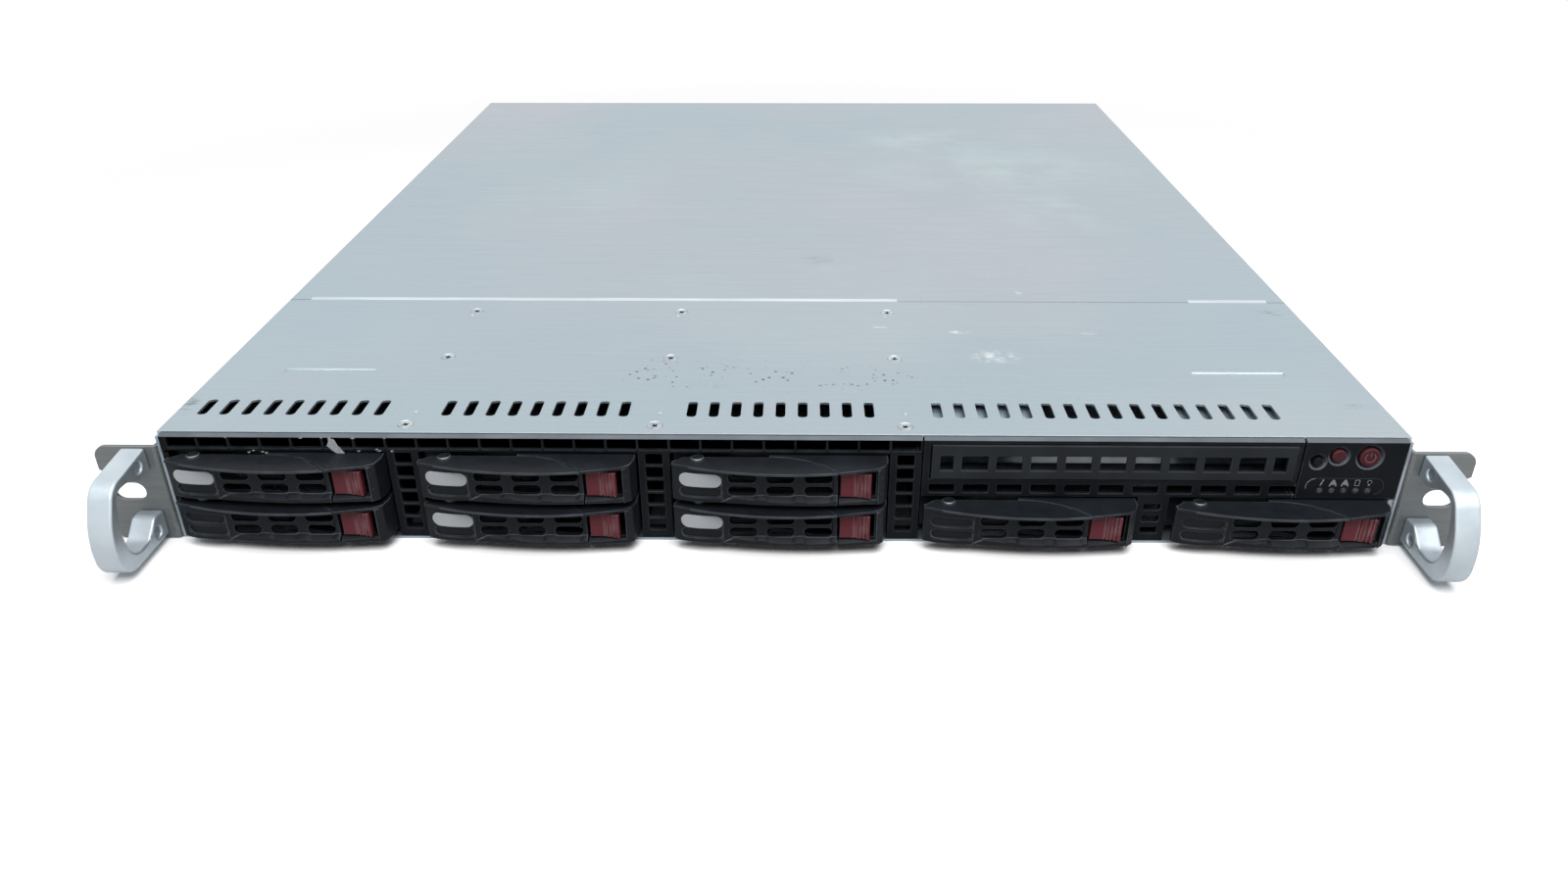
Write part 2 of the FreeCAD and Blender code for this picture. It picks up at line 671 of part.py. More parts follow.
def panel_button(name):
    """A round button, the square flange that keeps it behind the panel's face, and its stem."""
    radius = BUTTONS[name]["radius"]
    flange_y = PANEL_WALL + BUTTON_GAP
    cap = flat_rod(radius, ROUND_FLATS, button_place(name, -BUTTON_PROUD), button_place(name, flange_y))
    flange = button_square(name, radius + BUTTON_RIM, (flange_y, flange_y + BUTTON_FLANGE))
    stem = button_square(name, radius / 2, (flange_y, flange_y + BUTTON_BODY))
    return join([cap, flange, stem])


def status_light_pipes():
    """The row of clear rods from the panel's board to its face."""
    return Part.makeCompound([light_bar(x, LIGHT_RADIUS, (-SEAT, PANEL_DEPTH)) for x in light_places()])


def bow(start, end):
    """Plan points along the bowed front of a carrier's roof. Its flats meet between the windows."""
    middle = Vector(BOW_CENTRE, BOW_RADIUS - BOW_REACH, 0)
    joints = [x for x in BOW_JOINTS if start + BOW_LEAST < x < end - BOW_LEAST]
    points = []
    for x in [start] + joints + [end]:
        angle = math.asin((x - BOW_CENTRE) / BOW_RADIUS)
        points.append(middle + Vector(BOW_RADIUS * math.sin(angle), -BOW_RADIUS * math.cos(angle), 0))
    return points


def lifted(points, z):
    """Plan points moved up to a height."""
    return [Vector(p.x, p.y, z) for p in points]


def parting_line(shift):
    """Plan points of the curve where the lever meets the fixed end, from the front to the back."""
    start = bow(LEVER_LEFT, PARTING_X)[-1]
    curve = Part.Arc(start, Vector(*PARTING_MIDDLE, 0), Vector(*PARTING_BACK, 0)).toShape()
    return [p + Vector(shift, shift, 0) for p in curve.discretize(PARTING_FLATS + 1)]


def pin_hole(gap):
    """The hole for the hinge pin, from end to end of it."""
    start = Vector(PIN_X, PIN_Y, -1)
    return flat_rod(PIN_RADIUS + gap, HOLE_FLATS, start, start + Z * (CARRIER_TOP + 2))


def face_line(start, end, inset=0.0):
    """Plan points along the face behind the roof's bow, moved in by an inset."""
    turns = [(x, y) for x, y in FACE_TURNS if start < x < end]
    first = FACE_TURNS[0] if start <= FACE_TURNS[0][0] else (start, FACE_Y)
    return [Vector(x, y + inset, 0) for x, y in [first] + turns + [(end, FACE_Y)]]


def face_wall(start, end, top):
    """A stretch of the face, from the carrier's floor up."""
    plan = face_line(start, end) + face_line(start, end, CARRIER_WALL)[::-1]
    return prism(lifted(plan, CARRIER_FLOOR), Z * (top - CARRIER_FLOOR))


def finger_lip(points, top):
    """The sloped ledge along the foot of a carrier's front."""
    outer = [Vector(x, y, 0) for x, y in points]
    inner = [Vector(outer[-1].x, FACE_Y + SEAT, 0), Vector(outer[0].x, FACE_Y + SEAT, 0)]
    ledge = prism(lifted(outer + inner, CARRIER_FLOOR), Z * (top - CARRIER_FLOOR))
    brink = min(y for x, y in points)
    drop = LIP_SLOPE * (FACE_Y - brink)
    slope = [
        Vector(outer[0].x, FACE_Y, top),
        Vector(outer[0].x, brink - SEAT, top - drop),
        Vector(outer[0].x, brink - SEAT, top + 1),
        Vector(outer[0].x, FACE_Y, top + 1),
    ]
    return carve(ledge, [prism(slope, X * (outer[-1].x - outer[0].x))])


def carrier_lever():
    """The swinging front of a carrier: a bowed roof over a windowed face with a lip, hung on its pin."""
    back = PARTING_BACK[1]
    heel = [
        Vector(LEVER_LEFT + LEVER_CORNER, back, 0),
        Vector(LEVER_LEFT, back - LEVER_CORNER, 0),
    ]
    under_roof = CARRIER_TOP - CARRIER_ROOF
    roof_plan = bow(LEVER_LEFT, PARTING_X)[:-1] + parting_line(0) + heel
    knuckle_plan = face_line(LEVER_LEFT, LIP_LEVER[0][0]) + [Vector(LIP_LEVER[0][0], back, 0)] + heel
    inner = LEVER_LEFT + CARRIER_WALL
    end_plan = [
        Vector(LEVER_LEFT, FACE_TURNS[0][1], 0),
        Vector(inner, FACE_TURNS[0][1], 0),
        Vector(inner, back - LEVER_CORNER + CARRIER_WALL, 0),
        heel[1],
    ]
    body = join([
        prism(lifted(roof_plan, under_roof), Z * CARRIER_ROOF),
        prism(lifted(knuckle_plan, CARRIER_FLOOR), Z * CARRIER_ROOF),
        prism(lifted(end_plan, CARRIER_FLOOR), Z * (CARRIER_TOP - CARRIER_FLOOR)),
        face_wall(LEVER_LEFT, FACE_ROOFED, CARRIER_TOP - SEAT),
        face_wall(FACE_ROOFED - SEAT, PARTING_X, under_roof - CLEAR),
        finger_lip(LIP_LEVER, LIP_TOP),
    ])
    cuts = [pin_hole(SEAT)]
    through = (-BOW_REACH, FACE_Y + CARRIER_WALL + 1)
    for z, height in LEVER_ROWS:
        for x in LEVER_WINDOW_XS:
            cuts.append(block(span(x, LEVER_WINDOW), through, span(z, height)))
    pocket_end = FACE_TURNS[-1][0] + 1
    skin = face_line(LEVER_LEFT, pocket_end, -1) + face_line(LEVER_LEFT, pocket_end, POCKET_DEPTH)[::-1]
    for z in POCKET_ZS:
        slab = prism(lifted(skin, z - POCKET[1] / 2), Z * POCKET[1])
        cuts.append(slab.common(block(span(POCKET_X, POCKET[0]), (-BOW_REACH, 0), (0, CARRIER_TOP))))
    return carve(body, cuts)


def carrier_tray():
    """The sliding part of a carrier: rails, cross wall, the fixed end of its front, and the hinge pin."""
    half = CARRIER_WIDTH / 2
    front_end = half - END_CORNER
    left = PARTING_X + CLEAR
    slot_end = left + CLEAR + LATCH_WIDTH + LATCH_TRAVEL + CLEAR
    under_roof = CARRIER_TOP - CARRIER_ROOF
    face = bow(left, front_end)
    corner_end = Vector(half, face[-1].y + END_CORNER_DEPTH, 0)
    corner_middle = Vector(half - END_CORNER_MIDDLE[0], face[-1].y + END_CORNER_MIDDLE[1], 0)
    corner = Part.Arc(face[-1], corner_middle, corner_end).toShape().discretize(END_CORNER_FLATS + 1)
    parting = parting_line(CLEAR)[::-1]
    side = [Vector(half, CROSS_WALL[1], 0), Vector(parting[0].x, CROSS_WALL[1], 0)]
    roof_plan = parting[:-1] + face[:-1] + corner + side
    behind = FACE_Y + CARRIER_WALL + CLEAR
    kept = sum(point.y > behind for point in parting)
    last, after = parting[kept - 1], parting[kept]
    meeting = last + (after - last) * ((behind - last.y) / (after.y - last.y))
    foot_plan = parting[:kept] + [
        meeting,
        Vector(left, behind, 0),
        Vector(left, FACE_Y, 0),
        Vector(slot_end, FACE_Y, 0),
        Vector(slot_end, face[-1].y, 0),
    ] + corner[1:] + side
    hollow = [
        Vector(left, FACE_Y + CARRIER_WALL, 0),
        Vector(front_end, FACE_Y + CARRIER_WALL, 0),
        corner_end - X * CARRIER_WALL,
        Vector(half - CARRIER_WALL, CROSS_WALL[0], 0),
        Vector(PARTING_BACK[0], CROSS_WALL[0], 0),
        Vector(PARTING_BACK[0], FACE_Y + CARRIER_WALL, 0),
    ]
    hollow_z = (CARRIER_FLOOR + CARRIER_WALL, under_roof)
    latch_window = block(
        (PARTING_X, slot_end),
        (-BOW_REACH, FACE_Y + CARRIER_WALL + SEAT),
        (LATCH_Z[0] - CLEAR, LATCH_Z[1] + CLEAR),
    )
    inside = prism(lifted(hollow, hollow_z[0]), Z * (hollow_z[1] - hollow_z[0]))
    foot = prism(lifted(foot_plan, CARRIER_FLOOR), Z * (under_roof + SEAT - CARRIER_FLOOR))
    fixed_end = join([
        carve(foot, [inside, latch_window]),
        prism(lifted(roof_plan, under_roof), Z * CARRIER_ROOF),
    ])

    rail_z = (RAIL_FOOT, RAIL_TOP)
    frame = [fixed_end, block((-half, half), CROSS_WALL, rail_z)]
    rail_y = (CROSS_WALL[0], CROSS_WALL[0] + RAIL_LENGTH)
    for side in (LEFT, RIGHT):
        frame.append(block(ordered(side * half, side * (half - RAIL)), rail_y, rail_z))
    frame.append(block((-half, half), span(BRACE_Y, BRACE[0]), (RAIL_FOOT, RAIL_FOOT + BRACE[1])))
    lug = [
        Vector(PIN_X - LUG_HALF, CROSS_WALL[1], LUG_Z[0]),
        Vector(PIN_X - LUG_HALF, PIN_Y, LUG_Z[0]),
        Vector(PIN_X - LUG_HALF / 2, PIN_Y - LUG_NOSE, LUG_Z[0]),
        Vector(PIN_X + LUG_HALF / 2, PIN_Y - LUG_NOSE, LUG_Z[0]),
        Vector(PIN_X + LUG_HALF, PIN_Y, LUG_Z[0]),
        Vector(PIN_X + LUG_HALF, CROSS_WALL[1], LUG_Z[0]),
    ]
    frame.append(prism(lug, Z * (LUG_Z[1] - LUG_Z[0])))
    frame.append(finger_lip(LIP_END, LATCH_Z[0] - CLEAR))
    tray = join(frame)

    cuts = [pin_hole(SEAT / 2)]
    vent_z = (RAIL_FOOT + CARRIER_WALL, RAIL_TOP - CARRIER_WALL)
    vent_x = (LEVER_WINDOW_XS[0] - LEVER_WINDOW / 2, LEVER_WINDOW_XS[-1] + LEVER_WINDOW / 2)
    cuts.append(block(vent_x, (CROSS_WALL[0] - 1, CROSS_WALL[1] + 1), vent_z))
    slot_y = span(DRIVE_FRONT + DRIVE_LENGTH / 2, RAIL_SLOT[0])
    slot_z = span((RAIL_FOOT + RAIL_TOP) / 2, RAIL_SLOT[1])
    cuts.append(block((-half - 1, half + 1), slot_y, slot_z))
    tray = carve(tray, cuts)
    pin_foot = Vector(PIN_X, PIN_Y, CARRIER_FLOOR)
    pin = turning_rod(PIN_RADIUS, pin_foot, Vector(PIN_X, PIN_Y, CARRIER_TOP + PIN_PROUD))
    return Part.makeCompound([tray, pin])


def carrier_latch():
    """The release tab: a ribbed, flared finger piece and the slider that guides it inside the fixed end."""
    left = PARTING_X + 2 * CLEAR
    right = left + LATCH_WIDTH
    plan = [
        Vector(left, LATCH_FLARE[0], 0),
        Vector(right, LATCH_FLARE[1], 0),
        Vector(right, LATCH_BACK, 0),
        Vector(left, LATCH_BACK, 0),
    ]
    tab = prism(lifted(plan, LATCH_Z[0]), Z * (LATCH_Z[1] - LATCH_Z[0]))
    neck_x = (left + CARRIER_WALL, right - CARRIER_WALL)
    neck = block(neck_x, (LATCH_BACK - SEAT, LATCH_SLIDER_Y[1]), (LATCH_Z[0] + 1, LATCH_Z[1] - 1))
    slider_z = (CARRIER_FLOOR + CARRIER_WALL + CLEAR, CARRIER_TOP - CARRIER_ROOF - CLEAR)
    slider = block((left, right - LATCH_TRAVEL / 2), LATCH_SLIDER_Y, slider_z)
    cuts = []
    for i in range(LATCH_GROOVES):
        x = right - LATCH_GROOVE[1] * (i + 0.5)
        share = (x - left) / LATCH_WIDTH
        depth = LATCH_FLARE[0] + (LATCH_FLARE[1] - LATCH_FLARE[0]) * share + LATCH_GROOVE_DEPTH
        groove_z = (LATCH_Z[0] - 1, LATCH_Z[1] + 1)
        cuts.append(block(span(x, LATCH_GROOVE[0]), (-BOW_REACH, depth), groove_z))
    return join([carve(tab, cuts), neck, slider])


def carrier_drive():
    """A drive with the recess of its rear connector."""
    y = (DRIVE_FRONT, DRIVE_FRONT + DRIVE_LENGTH)
    body = block(span(0, DRIVE_WIDTH), y, (DRIVE_FOOT, DRIVE_FOOT + DRIVE_HEIGHT))
    width, depth, height = DRIVE_SOCKET
    socket_z = (DRIVE_FOOT - 1, DRIVE_FOOT + height)
    socket = block(span(DRIVE_SOCKET_X, width), (y[1] - depth, y[1] + 1), socket_z)
    return carve(body, [socket])


def bays():
    """The place of each bay's carrier, left to right and top to bottom."""
    places = []
    for column in range(COLUMNS):
        for row in reversed(range(bay_rows(column))):
            places.append(Vector(COLUMN_XS[column], 0, BAY_BASE + row * BAY_PITCH))
    return places


def ledges(column, side):
    """The shelves that carry the carriers of a column on one side."""
    wall = COLUMN_XS[column] + side * (BAY_WIDTH / 2 + CAGE_WALL_FROM_BAY + SHEET / 2)
    rail = COLUMN_XS[column] + side * (CARRIER_WIDTH / 2 - RAIL / 2)
    shelves = []
    for row in range(bay_rows(column)):
        top = BAY_BASE + row * BAY_PITCH + RAIL_FOOT - LEDGE_GAP
        shelves.append(block(ordered(wall, rail), (CAGE_FRONT, CAGE_REAR), (top - SHEET, top)))
    return shelves


def cage_divider(index):
    """A folded channel between two columns, with the ledges of the bays beside it."""
    x = DIVIDER_XS[index]
    half = (COLUMN_PITCH - BAY_WIDTH) / 2 - CAGE_WALL_FROM_BAY
    top = WALL_TOP if index < STACKED_COLUMNS else LOW_TOP
    depth = (CAGE_FRONT, CAGE_REAR)
    channel = carve(
        block((x - half, x + half), depth, (SHEET + SEAT, top)),
        [block((x - half + SHEET, x + half - SHEET), (0, CAGE_REAR + 1), (0, top - SHEET))],
    )
    return join([channel] + ledges(index, RIGHT) + ledges(index + 1, LEFT))


def drive_cage():
    """Four folded dividers, two side plates and the shelf under the optical bay."""
    pieces = [cage_divider(i) for i in range(COLUMNS - 1)]
    for side, column, top in ((LEFT, 0, BAY_TOP - SHEET), (RIGHT, COLUMNS - 1, LOW_TOP)):
        edge = INNER_HALF - SEAT
        face = abs(COLUMN_XS[column]) + BAY_WIDTH / 2 + CAGE_WALL_FROM_BAY
        plate = block(ordered(side * face, side * edge), (CLEAR, CAGE_REAR), (SHEET + SEAT, top))
        pieces.append(join([plate] + ledges(column, side)))
    shelf_left = DIVIDER_XS[STACKED_COLUMNS - 1] + (COLUMN_PITCH - BAY_WIDTH) / 2
    shelf_z = (LOW_TOP + SEAT, LOW_TOP + SEAT + SHEET)
    pieces.append(block((shelf_left, INNER_HALF - SEAT), (PANEL_DEPTH + 2 * PANEL_BOARD, CAGE_REAR), shelf_z))
    return Part.makeCompound(pieces)


def drive_backplane():
    """The board behind the drives, open between its rows of connectors, with one connector for each bay."""
    edge = INNER_HALF - SHEET - CLEAR
    step = GRILLE_RIGHT
    outline = [
        (-edge, BACKPLANE_FLOOR),
        (edge, BACKPLANE_FLOOR),
        (edge, LOW_TOP),
        (step, LOW_TOP),
        (step, BAY_TOP),
        (-edge, BAY_TOP),
    ]
    board = prism([Vector(x, BACKPLANE_FRONT, z) for x, z in outline], Y * BOARD)
    cuts = []
    through = (BACKPLANE_FRONT - 1, BACKPLANE_FRONT + BOARD + 1)
    for column in range(COLUMNS):
        for row in range(bay_rows(column)):
            z = BAY_BASE + row * BAY_PITCH + DRIVE_FOOT + DRIVE_SOCKET[2] + BACKPLANE_VENT[1]
            vent_x = span(COLUMN_XS[column], BACKPLANE_VENT[0])
            cuts.append(block(vent_x, through, span(z, BACKPLANE_VENT[1])))
    pieces = [carve(board, cuts)]
    width, depth, height = DRIVE_SOCKET
    front = DRIVE_FRONT + DRIVE_LENGTH - depth + CLEAR
    for place in bays():
        floor = place.z + DRIVE_FOOT
        x = span(place.x + DRIVE_SOCKET_X, width - 2 * CLEAR)
        pieces.append(block(x, (front, BACKPLANE_FRONT), (floor, floor + height - CLEAR)))
    return Part.makeCompound(pieces)


def handle(side):
    """A cast loop: its outline is swept across, and two blind holes are sunk in its inner face."""
    inner = side * (HALF_WIDTH + HANDLE_FROM_SIDE)
    corners = [Vector(inner, EAR_FRONT + y, z) for y, z, radius in HANDLE_OUTLINE]
    outline = rounded_outline(corners, [radius for y, z, radius in HANDLE_OUTLINE])
    loop = prism(outline, X * side * HANDLE_THICK)
    holes = []
    for y, z in HANDLE_HOLES:
        mouth = Vector(inner - side * SEAT, EAR_FRONT + y, z)
        holes.append(flat_rod(HANDLE_HOLE, ROUND_FLATS, mouth, mouth + X * side * HANDLE_HOLE_DEPTH))
    return carve(loop, holes)


def rack_ear(side):
    """A bent bracket: its folded section, trimmed to the ear's outline and slotted for the rack."""
    inner = side * HALF_WIDTH
    outer = side * (HALF_WIDTH + EAR_REACH)
    fold = side * (HALF_WIDTH + EAR_SHEET)
    section = [
        Vector(inner, EAR_FRONT, EAR_FOOT),
        Vector(outer, EAR_FRONT, EAR_FOOT),
        Vector(outer, EAR_FRONT + EAR_SHEET, EAR_FOOT),
        Vector(fold, EAR_FRONT + EAR_SHEET, EAR_FOOT),
        Vector(fold, EAR_FLANGE, EAR_FOOT),
        Vector(inner, EAR_FLANGE, EAR_FOOT),
    ]
    folded = rounded_outline(section, [EAR_FOLD, 0, 0, EAR_FOLD - EAR_SHEET, 0, 0])
    bracket = prism(folded, Z * (EAR_TOP - EAR_FOOT))
    front = EAR_FRONT - 1
    notch = outer - side * EAR_NOTCH
    outline = [
        (inner, EAR_TOP, 0),
        (outer, EAR_TOP, EAR_CORNER),
        (outer, EAR_NOTCH_Z + EAR_NOTCH_HALF, 0),
        (notch, EAR_NOTCH_Z, EAR_NOTCH_ROUND),
        (outer, EAR_NOTCH_Z - EAR_NOTCH_HALF, 0),
        (outer, EAR_FOOT, EAR_CORNER),
        (inner, EAR_FOOT, 0),
    ]
    points = [Vector(x, front, z) for x, z, radius in outline]
    tab = rounded_outline(points, [radius for x, z, radius in outline])
    trimmed = bracket.common(prism(tab, Y * (EAR_FLANGE - front)))
    slot_x = outer - side * RACK_SLOT_FROM_EDGE
    half = (RACK_SLOT[0] - RACK_SLOT[1]) / 2
    radius = RACK_SLOT[1] / 2
    through = (EAR_FRONT - 1, EAR_FRONT + EAR_SHEET + 1)
    cuts = [block(span(slot_x, 2 * half), through, span(RACK_SLOT_Z, RACK_SLOT[1]))]
    for end in (LEFT, RIGHT):
        start = Vector(slot_x + end * half, through[0], RACK_SLOT_Z)
        cuts.append(rod(radius, start, start + Y * (through[1] - through[0])))
    return carve(trimmed, cuts)


def fan_frame(x):
    """A square fan housing with its round duct, and the motor seat on four spokes at the back."""
    back = FAN_FRONT + FAN_DEPTH
    centre = Vector(x, FAN_FRONT, FAN_CENTRE_Z)
    housing = front_window(x, FAN_CENTRE_Z, (FAN_SIZE, FAN_SIZE), FAN_CORNER, (FAN_FRONT, back))
    duct = flat_rod(FAN_BORE, ROUND_FLATS, centre - Y, Vector(x, back + 1, FAN_CENTRE_Z))
    seat_y = (back - MOTOR_DEPTH, back)
    seat_front = Vector(x, seat_y[0], FAN_CENTRE_Z)
    arms = [
        block(span(x, SPOKE), seat_y, span(FAN_CENTRE_Z, 2 * FAN_BORE + 1)),
        block(span(x, 2 * FAN_BORE + 1), seat_y, span(FAN_CENTRE_Z, SPOKE)),
        flat_rod(FAN_HUB - CLEAR, HUB_FLATS, seat_front, seat_front + Y * MOTOR_DEPTH),
    ]
    bearing = flat_rod(SHAFT_RADIUS + SEAT, HOLE_FLATS, centre, Vector(x, back + 1, FAN_CENTRE_Z))
    return carve(join([carve(housing, [duct])] + arms), [bearing])


def fan_rotor(x, z, front, shaft_end):
    """A hub with pitched blades, on the shaft that runs in the motor seat."""
    hub_y = (front + 2 * CLEAR, front + 2 * CLEAR + FAN_HUB_LENGTH)
    axis_start = Vector(x, hub_y[0], z)
    axis_end = Vector(x, hub_y[1], z)
    pieces = [flat_rod(FAN_HUB, HUB_FLATS, axis_start, axis_end)]
    pieces.append(turning_rod(SHAFT_RADIUS, axis_start + Y, Vector(x, shaft_end, z)))
    tip = math.sqrt((FAN_BORE - FAN_TIP_GAP) ** 2 - (BLADE_CHORD / 2) ** 2)
    middle = (hub_y[0] + hub_y[1]) / 2
    for i in range(FAN_BLADES):
        blade = block(span(x, BLADE_CHORD), span(middle, BLADE_THICK), (z + FAN_HUB / 2, z + tip))
        blade.rotate(Vector(x, middle, z), Z, BLADE_PITCH)
        blade.rotate(Vector(x, middle, z), Y, 360 * i / FAN_BLADES)
        pieces.append(blade)
    return join(pieces)


def motherboard():
    """The main board with its processor socket and memory sockets."""
    right = BOARD_LEFT + BOARD_WIDTH
    board = block((BOARD_LEFT, right), (BOARD_FRONT, BOARD_REAR), (BOARD_UNDER, BOARD_TOP))
    socket_z = (BOARD_TOP, BOARD_TOP + SOCKET_HEIGHT)
    socket = block(span(SOCKET_X, SOCKET_SIZE), span(SOCKET_Y, SOCKET_SIZE), socket_z)
    pieces = [board, socket]
    width, length, height = MEMORY_SOCKET
    for x in MEMORY_XS:
        holder = block(span(x, width), span(SOCKET_Y, length), (BOARD_TOP, BOARD_TOP + height))
        groove_z = (BOARD_TOP + MEMORY_SEAT, BOARD_TOP + height + 1)
        groove = block(span(x, MEMORY_BOARD + 2 * SEAT), span(SOCKET_Y, MEMORY_LENGTH + 2 * SEAT), groove_z)
        pieces.append(carve(holder, [groove]))
    return Part.makeCompound(pieces)


def cpu_heat_sink():
    """A base plate with a row of thin fins along the air flow."""
    floor = BOARD_TOP + SOCKET_HEIGHT + SEAT
    y = span(SOCKET_Y, SINK_SIZE)
    base = block(span(SOCKET_X, SINK_SIZE), y, (floor, floor + SINK_BASE))
    fin_pitch = (SINK_SIZE - SINK_FIN) / (SINK_FINS - 1)
    fins = [block(span(x, SINK_FIN), y, (floor, SINK_TOP)) for x in spread(SINK_FINS, fin_pitch, SOCKET_X)]
    return join([base] + fins)


def memory_modules():
    """Memory boards standing in their sockets, with a row of chips on each side."""
    modules = []
    floor = BOARD_TOP + MEMORY_SEAT + SEAT
    chips_z = (BOARD_TOP + MEMORY_SOCKET[2] + MEMORY_MARGIN, floor + MEMORY_HEIGHT - MEMORY_MARGIN)
    for x in MEMORY_XS:
        board = block(span(x, MEMORY_BOARD), span(SOCKET_Y, MEMORY_LENGTH), (floor, floor + MEMORY_HEIGHT))
        row = span(SOCKET_Y, MEMORY_LENGTH - 2 * MEMORY_MARGIN)
        chips = block(span(x, MEMORY_BOARD + 2 * MEMORY_CHIPS), row, chips_z)
        modules.append(join([board, chips]))
    return Part.makeCompound(modules)


def jack_mouth(x, z, size):
    """The mouth of a socket, open to the rear."""
    rear = CHASSIS_DEPTH + PORT_PROUD
    return block(span(x, size[0]), (rear - size[2], rear + 1), span(z, size[1]))


def rear_connectors():
    """Serial and video plugs, two network jacks, and a jack stacked on two serial bus sockets."""
    rear = CHASSIS_DEPTH + PORT_PROUD
    pieces = []
    for name in PORTS:
        x, z = port_spans(name)
        centre = (x[0] + x[1]) / 2
        body = block(x, (rear - PORT_DEPTH, rear), z)
        if name in ("serial", "video"):
            shell_y = (rear - 1, rear + PORT_SHELL_PROUD)
            shell = front_window(centre, (z[0] + z[1]) / 2, PORT_SHELL, PORT_SHELL_CORNER, shell_y)
            pieces.append(join([body, shell]))
            continue
        if name != "stack":
            pieces.append(carve(body, [jack_mouth(centre, (z[0] + z[1]) / 2, JACK_MOUTH)]))
            continue
        cuts = [jack_mouth(centre, z[1] - JACK_MOUTH[1] / 2 - JACK_MARGIN, JACK_MOUTH)]
        tongues = []
        for i in range(USB_SOCKETS):
            level = z[0] + JACK_MARGIN + USB_MOUTH[1] / 2 + i * (USB_MOUTH[1] + JACK_MARGIN)
            cuts.append(jack_mouth(centre, level, USB_MOUTH))
            tongue_y = (rear - USB_MOUTH[2] - 1, rear - USB_TONGUE_SET_IN)
            tongues.append(block(span(centre, USB_TONGUE[0]), tongue_y, span(level, USB_TONGUE[1])))
        pieces.append(join([carve(body, cuts)] + tongues))
    return Part.makeCompound(pieces)


def expansion_slot_cover():
    """The blank behind the unused expansion opening."""
    width, height, sheet = SLOT_COVER
    rear = REAR_FACE - SEAT
    plate = block(span(SLOT_X, width), (rear - sheet, rear), span(SLOT_Z, height))
    end = SLOT_X + width / 2
    tab = block((end - sheet, end), (rear - SLOT_COVER_TAB, rear), span(SLOT_Z, height))
    return join([plate, tab])


def power_supply():
    """The supply's case with its fan well, motor seat and three-pin inlet."""
    y = (SUPPLY_REAR - SUPPLY_LENGTH, SUPPLY_REAR)
    case = block((SUPPLY_LEFT, SUPPLY_RIGHT), y, (SHEET + SEAT, SUPPLY_TOP))
    rim_y = (SUPPLY_REAR - 1, CHASSIS_DEPTH + PORT_PROUD)
    rim = block(span(INLET_X, INLET[0]), rim_y, span(INLET_Z, INLET[1]))
    width, height, depth = INLET_MOUTH
    floor = CHASSIS_DEPTH + PORT_PROUD - depth
    well_y = SUPPLY_REAR - SUPPLY_FAN_WELL
    axis = Vector(SUPPLY_FAN_X, well_y, SUPPLY_FAN_Z)
    cuts = [
        front_window(INLET_X, INLET_Z, (width, height), INLET_CORNER, (floor, rim_y[1] + 1)),
        flat_rod(FAN_BORE, ROUND_FLATS, axis, axis + Y * (SUPPLY_FAN_WELL + 1)),
        flat_rod(SHAFT_RADIUS + SEAT, HOLE_FLATS, axis - Y * MOTOR_DEPTH, axis + Y),
    ]
    pins = []
    for x, z in INLET_PINS:
        pin_x = span(INLET_X + x, INLET_PIN[0])
        pins.append(block(pin_x, (floor - 1, floor + INLET_PIN[2]), span(INLET_Z + z, INLET_PIN[1])))
    return join([carve(join([case, rim]), cuts)] + pins)


def internal_cables():
    """A flat ribbon from the backplane to the main board, and the supply's harness to the main board."""
    x = RIBBON_FROM_SIDE - HALF_WIDTH
    start = BACKPLANE_FRONT + BOARD + SEAT
    plug_x = span(x, PLUG[0])
    rear_plug = block(plug_x, (start, start + PLUG[1]), span(RIBBON_Z, PLUG[2]))
    header_y = BOARD_FRONT + PLUG[1]
    header = block(plug_x, span(header_y, PLUG[2]), (BOARD_TOP, BOARD_TOP + PLUG[1]))
    half = RIBBON_THICK / 2
    top = RIBBON_Z + half
    left = x - RIBBON_WIDTH / 2
    outline = [
        Vector(left, start + PLUG[1], top),
        Vector(left, header_y + half, top),
        Vector(left, header_y + half, BOARD_TOP + PLUG[1]),
        Vector(left, header_y - half, BOARD_TOP + PLUG[1]),
        Vector(left, header_y - half, top - RIBBON_THICK),
        Vector(left, start + PLUG[1], top - RIBBON_THICK),
    ]
    bends = [0, RIBBON_BEND + RIBBON_THICK, 0, 0, RIBBON_BEND, 0]
    ribbon = prism(rounded_outline(outline, bends), X * RIBBON_WIDTH)

    out_x = SUPPLY_LEFT + HARNESS_RUN / 2
    supply_front = SUPPLY_REAR - SUPPLY_LENGTH
    run_y = supply_front - HARNESS_RUN
    end_x = BOARD_LEFT + BOARD_WIDTH - PLUG[0]
    floor = BOARD_TOP + SEAT
    thick = HARNESS_THICK
    path = [
        Vector(out_x + thick, supply_front, floor),
        Vector(out_x + thick, run_y - thick, floor),
        Vector(end_x, run_y - thick, floor),
        Vector(end_x, run_y, floor),
        Vector(out_x, run_y, floor),
        Vector(out_x, supply_front, floor),
    ]
    bends = [0, HARNESS_BEND, 0, 0, HARNESS_BEND - thick, 0]
    harness = prism(rounded_outline(path, bends), Z * HARNESS_HEIGHT)
    return Part.makeCompound([rear_plug, header, ribbon, harness])


